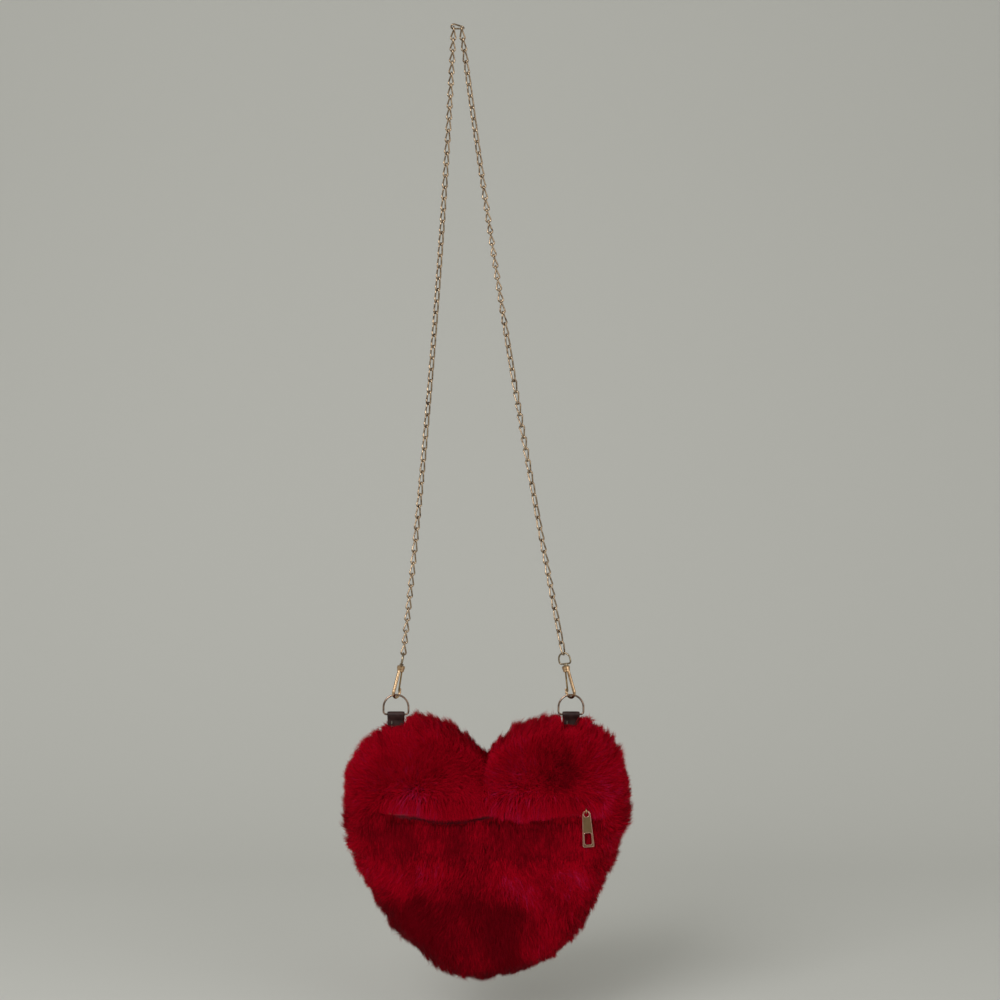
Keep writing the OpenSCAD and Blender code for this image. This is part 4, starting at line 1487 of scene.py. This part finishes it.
@dataclass
class RingsAndTabs:
    """The two D-rings and the straps folded over their bars, in metres."""

    ring_x: Span = (-0.0492, 0.0908)
    bar_z: float = -0.550639
    ring_radius: float = 0.010
    arc_rise: float = 0.0056
    corner: float = 0.0025
    wire: float = 0.0016
    width: float = 0.0136
    thick: float = 0.0012
    fold: float = 0.0012
    neck: float = 0.0052
    leg: float = 0.012
    edge_thinner: float = 0.55
    edge_power: int = 12
    seam_thinner: float = 0.12
    seam_at: float = 0.82
    seam_reach: float = 0.06

    def ring_path(self) -> Array:
        """Walks once round a D: half a circle on two short legs, two small corners and the bar.

        Returns:
            Points along the wire's centre, the bar's middle at the origin.
        """
        inner = self.ring_radius - self.corner
        return upright(np.concatenate([
            arc((0, self.arc_rise), self.ring_radius, 0, 180, 25),
            arc((-inner, self.corner), self.corner, 180, 270, 7),
            np.stack([np.linspace(-inner, inner, 7)[1:-1], np.zeros(5)], axis=1),
            arc((inner, self.corner), self.corner, 270, 360, 7),
        ]))

    def fold_path(self) -> Array:
        """Walks along the folded strap's middle from its front end, over the bar, to its back end.

        Returns:
            Points in the plane across the bar, the bar at the origin.
        """
        radius = self.fold + self.thick / 2
        lean = math.degrees(math.asin(radius / self.neck))
        loop = arc((0, 0), radius, 180 + lean, -lean, 17)
        t = np.linspace(0, 1, 6)[1:-1, None]
        front_leg = np.stack([np.full(6, -self.thick / 2), np.linspace(-self.leg, -self.neck, 6)], axis=1)
        ease = np.concatenate([smooth_step(0, 1, t), t], axis=1)
        up = front_leg[-1] * (1 - ease) + loop[0] * ease
        flat = np.concatenate([front_leg, up, loop, up[::-1] * [-1, 1], front_leg[::-1] * [-1, 1]])
        return np.stack([np.zeros(len(flat)), flat[:, 0], flat[:, 1]], axis=1)

    def strap_mesh(self) -> tuple[Array, list[Array]]:
        """Carries a flat rounded section along the fold, thinner at edges and seams, and closes its ends.

        Returns:
            Corners and faces.
        """
        path = self.fold_path()
        out = np.cross(unit(np.gradient(path, axis=0)), np.array([1.0, 0, 0]))
        u = np.linspace(-1, 1, 13)
        seam = np.exp(-(((np.abs(u) - self.seam_at) / self.seam_reach) ** 2))
        edge = np.abs(u) ** self.edge_power
        half = self.thick / 2 * (1 - self.edge_thinner * edge) * (1 - self.seam_thinner * seam)
        across = np.concatenate([u, u[::-1]]) * self.width / 2
        lift = np.concatenate([half, -half[::-1]])
        section = np.array([1.0, 0, 0]) * across[None, :, None]
        points = path[:, None] + out[:, None] * lift[None, :, None] + section
        rows, columns = len(path), len(across)
        cap = np.arange(columns)[None]
        return points.reshape(-1, 3), [
            grid_faces(rows, columns, False, True), cap, cap[:, ::-1] + (rows - 1) * columns,
        ]

    def build(self, bronze: Material, leather: Material) -> None:
        """Builds both rings and both tabs.

        Args:
            bronze: the rings' plating.
            leather: the tabs' finish.
        """
        for hand, x in zip(Hand, self.ring_x):
            side = hand.name.lower()
            corners, faces = closed_wire(self.ring_path(), self.wire, self.wire, 12)
            ring = mesh_piece(f"ring_{side}", corners + [x, 0, self.bar_z], [faces], bronze)
            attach(ring, f"{side}_ring")
            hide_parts(f"d_ring_{side}")
            corners, faces = self.strap_mesh()
            tab = mesh_piece(f"folded_tab_{side}", corners + [x, 0, self.bar_z], faces, leather)
            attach(tab, "bag")
            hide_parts(f"tab_{side}")
            LOG.info("ring and tab %s", side)


@dataclass
class PullerRims:
    """The polished rims raised round the puller's edge, eye and slot, in metres; the lean is in degrees."""

    pivot: Triple = (0.1012, -0.0302, -0.62186)
    lean: float = 4.0
    top_width: float = 0.0064
    low_width: float = 0.0092
    length: float = 0.0288
    rim: float = 0.0013
    eye: float = 0.0038
    slot_width: float = 0.0054
    slot_length: float = 0.009
    slot_margin: float = 0.002
    corner: float = 0.0014
    bead: float = 0.0007
    depth: float = 0.00135

    def rounded(self, width: float, low: float, high: float, radius: float) -> Array:
        """Walks round a rounded rectangle, counter-clockwise from its right side.

        Args:
            width: its width.
            low: the height of its lower side.
            high: the height of its upper side.
            radius: its corners' radius.

        Returns:
            Points in the puller's plane.
        """
        half = width / 2 - radius
        middles = ((half, high - radius), (-half, high - radius), (-half, low + radius), (half, low + radius))
        quarters = [arc(middle, radius, 90 * k, 90 * (k + 1), 7) for k, middle in enumerate(middles)]
        return np.concatenate(quarters)

    def outlines(self) -> dict[str, Array]:
        """Lays out the three rims' middle lines in the puller's plane, its hinge at the origin.

        Returns:
            Each rim's name and points.
        """
        top, inset = self.rim / 2, self.bead / 2
        eye, low = (0, top - self.top_width / 2), top - self.length
        half, corner = self.low_width / 2 - self.corner, self.corner - inset
        slot_low = low + self.slot_margin
        return {
            "edge": np.concatenate([
                arc(eye, self.top_width / 2 - inset, 0, 180, 19),
                arc((-half, low + self.corner), corner, 180, 270, 7),
                arc((half, low + self.corner), corner, 270, 360, 7),
            ]),
            "eye": arc(eye, self.eye / 2 + inset, 0, 345, 24),
            "slot": self.rounded(
                self.slot_width + 2 * inset, slot_low - inset, slot_low + self.slot_length + inset,
                self.corner + inset,
            ),
        }

    def build(self, polished: Material) -> None:
        """Builds the three rims on the puller.

        Args:
            polished: their finish, whose rose tint is a painted reflection of the red fur.
        """
        for name, flat in self.outlines().items():
            path = turned(upright(flat), "Y", -self.lean)
            corners, faces = closed_wire(path, self.bead, self.depth, 10)
            piece = mesh_piece(f"puller_rim_{name}", corners + self.pivot, [faces], polished)
            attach(piece, "puller")
            LOG.info("%s with %d faces", piece.name, len(faces))


# The studio


@dataclass
class Studio:
    """Pale floor that curves up into a backdrop, soft lamps and the camera, in metres.

    Each lamp is its place, its width and its power in watts.
    """

    wall: str = "#c7c7c2"
    sky: str = "#b7b7b3"
    floor_z: float = -0.80
    bend_start: float = 0.5
    bend_radius: float = 1.1
    reach: float = 5.0
    camera_x: float = 0.034
    camera_z: float = -0.3792
    distance: float = 1.2
    lens_mm: float = 54.0
    sensor_mm: float = 36.0
    clip: Span = (0.01, 50.0)
    aim: Triple = (0.03, 0.0, -0.5)
    lamps: dict[str, tuple[Triple, float, float]] = field(
        default_factory=lambda: {
            "lamp_key": ((-0.9, -1.5, 0.5), 1.2, 26.0),
            "lamp_fill": ((1.3, -1.2, -0.2), 1.4, 9.0),
        }
    )

    def build(self) -> None:
        """Builds the floor with its backdrop, the lamps, the world and the camera."""
        self.add_backdrop()
        for name, (place, size, power) in self.lamps.items():
            self.add_lamp(name, place, size, power)
        world = bpy.data.worlds.new("studio")
        world.use_nodes = True
        background = world.node_tree.nodes["Background"]
        background.inputs["Color"].default_value = linear(self.sky)
        background.inputs["Strength"].default_value = 1.0
        bpy.context.scene.world = world
        self.add_camera()

    def add_backdrop(self) -> None:
        """Builds the floor, which bends up into the backdrop, in matt paint."""
        paint = MouldedPlastic("matt_floor_paint", face=self.wall, shade=self.wall, roughness=0.9).make()
        bend = arc((self.bend_start, self.floor_z + self.bend_radius), self.bend_radius, 270, 360, 33)
        wall_y = self.bend_start + self.bend_radius
        profile = np.concatenate([[[-self.reach, self.floor_z]], bend, [[wall_y, self.reach]]])
        corners = np.array([[side * self.reach, y, z] for y, z in profile for side in (-1, 1)])
        faces = grid_faces(len(profile), 2, False, False)
        mesh_piece("floor_and_backdrop", corners, [faces], paint)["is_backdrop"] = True

    def add_camera(self) -> None:
        """Adds the camera, level and straight in front of the purse."""
        data = bpy.data.cameras.new("camera")
        data.lens, data.sensor_width = self.lens_mm, self.sensor_mm
        data.clip_start, data.clip_end = self.clip
        camera = bpy.data.objects.new("camera", data)
        camera.location = (self.camera_x, -self.distance, self.camera_z)
        camera.rotation_euler = (math.radians(90), 0, 0)
        bpy.context.scene.collection.objects.link(camera)
        bpy.context.scene.camera = camera
        bpy.context.scene.view_settings.view_transform = "Standard"

    def add_lamp(self, name: str, place: Triple, size: float, power: float) -> None:
        """Adds a square soft lamp that faces the purse.

        Args:
            name: the lamp's name.
            place: where it stands.
            size: its width.
            power: its power in watts.
        """
        data = bpy.data.lights.new(name, "AREA")
        data.size, data.energy = size, power
        lamp = bpy.data.objects.new(name, data)
        lamp.location = place
        way = np.array(self.aim) - np.array(place)
        lean, swing = math.acos(-way[2] / np.linalg.norm(way)), math.atan2(way[1], way[0])
        lamp.rotation_euler = (lean, 0, swing - math.pi / 2)
        bpy.context.scene.collection.objects.link(lamp)


# Dressing


def solid_finishes() -> dict[str, Material]:
    """Makes the finishes of the solids that are shown as they are.

    Returns:
        The start of the solids' names, and the finish they wear.
    """
    eye = PlatedMetal("dull_pewter_gilt_eye_plating", "#a0917a", "#5c4c3a", roughness=0.2, wear_mm=5)
    clasp = PlatedMetal("polished_gilt_clasp_plating", "#cfae88", "#886444", roughness=0.17, wear_mm=7)
    gate = PlatedMetal("worn_gilt_gate_plating", "#a48a62", "#624c30", roughness=0.2, wear_mm=6)
    steel = PlatedMetal("drawn_spring_steel", "#b4b4b0", "#83837f", roughness=0.3)
    zip_metal = PlatedMetal("stamped_gilt_zip_plating", "#a88a60", "#7c6648", roughness=0.32, wear_mm=5)
    puller = PlatedMetal("brushed_olive_gilt_face", "#7c6448", "#644e38", roughness=0.36, wear_mm=12)
    thread = WovenCloth("twisted_polyester_thread", "#8e8478", "#5e564c", thread_mm=0.4)
    lining = WovenCloth("satin_lining", "#4a0c14", "#2a060a", thread_mm=0.5, roughness=0.5)
    tape = WovenCloth("woven_zip_tape", "#6a0c18", "#300309", thread_mm=0.7)
    worn_by = {
        eye: ("swivel_eye",), clasp: ("hook",), steel: ("gate_pin", "gate_spring"), gate: ("gate",),
        thread: ("tab_stitching",), lining: ("front_lining", "back_lining"),
        tape: ("seam_binding", "zip_tape"), MouldedPlastic("moulded_acetal_teeth"): ("zip_teeth",),
        zip_metal: ("zip_stop", "zip_slider"), puller: ("zip_puller",),
    }
    finishes = {}
    for finish, names in worn_by.items():
        finishes.update(dict.fromkeys(names, finish.make()))
    return finishes


def dress(frame: dict) -> None:
    """Gives every solid that is shown as it is its finish.
    """
    finishes = solid_finishes()
    for name, node in frame["nodes"].items():
        finish = next((finishes[key] for key in finishes if name.startswith(key)), None)
        if finish is None:
            continue
        for slot in node.material_slots:
            slot.link = "OBJECT"
            slot.material = finish
        LOG.info("%s wears %s", name, finish.name)


def corners_as_lists(box: tuple) -> list[list[float]]:
    """Turns a box's two corners into plain lists."""
    return [[float(v) for v in corner] for corner in box]


def main() -> None:
    """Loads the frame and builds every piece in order."""
    logging.basicConfig(level=logging.INFO, format="%(message)s")
    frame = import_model()
    solid_box = corners_as_lists(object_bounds())
    Studio().build()
    dress(frame)
    FurHeart().build()
    gilt = PlatedMetal("antique_gilt_link_plating", "#b09a80", "#4a3628", roughness=0.15, wear_mm=2.5)
    bronze = PlatedMetal("dark_bronze_ring_plating", "#9c8474", "#3c2c26", roughness=0.16, wear_mm=5)
    # The rims' rose tint is a painted reflection of the red fur beside them
    polished = PlatedMetal("polished_rose_gilt_rims", "#d09c90", "#a87468", roughness=0.22, wear_mm=9)
    ChainStrap().build(gilt.make())
    RingsAndTabs().build(bronze.make(), GrainedStrap("coated_leather_strap").make())
    PullerRims().build(polished.make())
    {"solid": solid_box, "shown": corners_as_lists(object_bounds())}


if __name__ == "__main__":
    main()
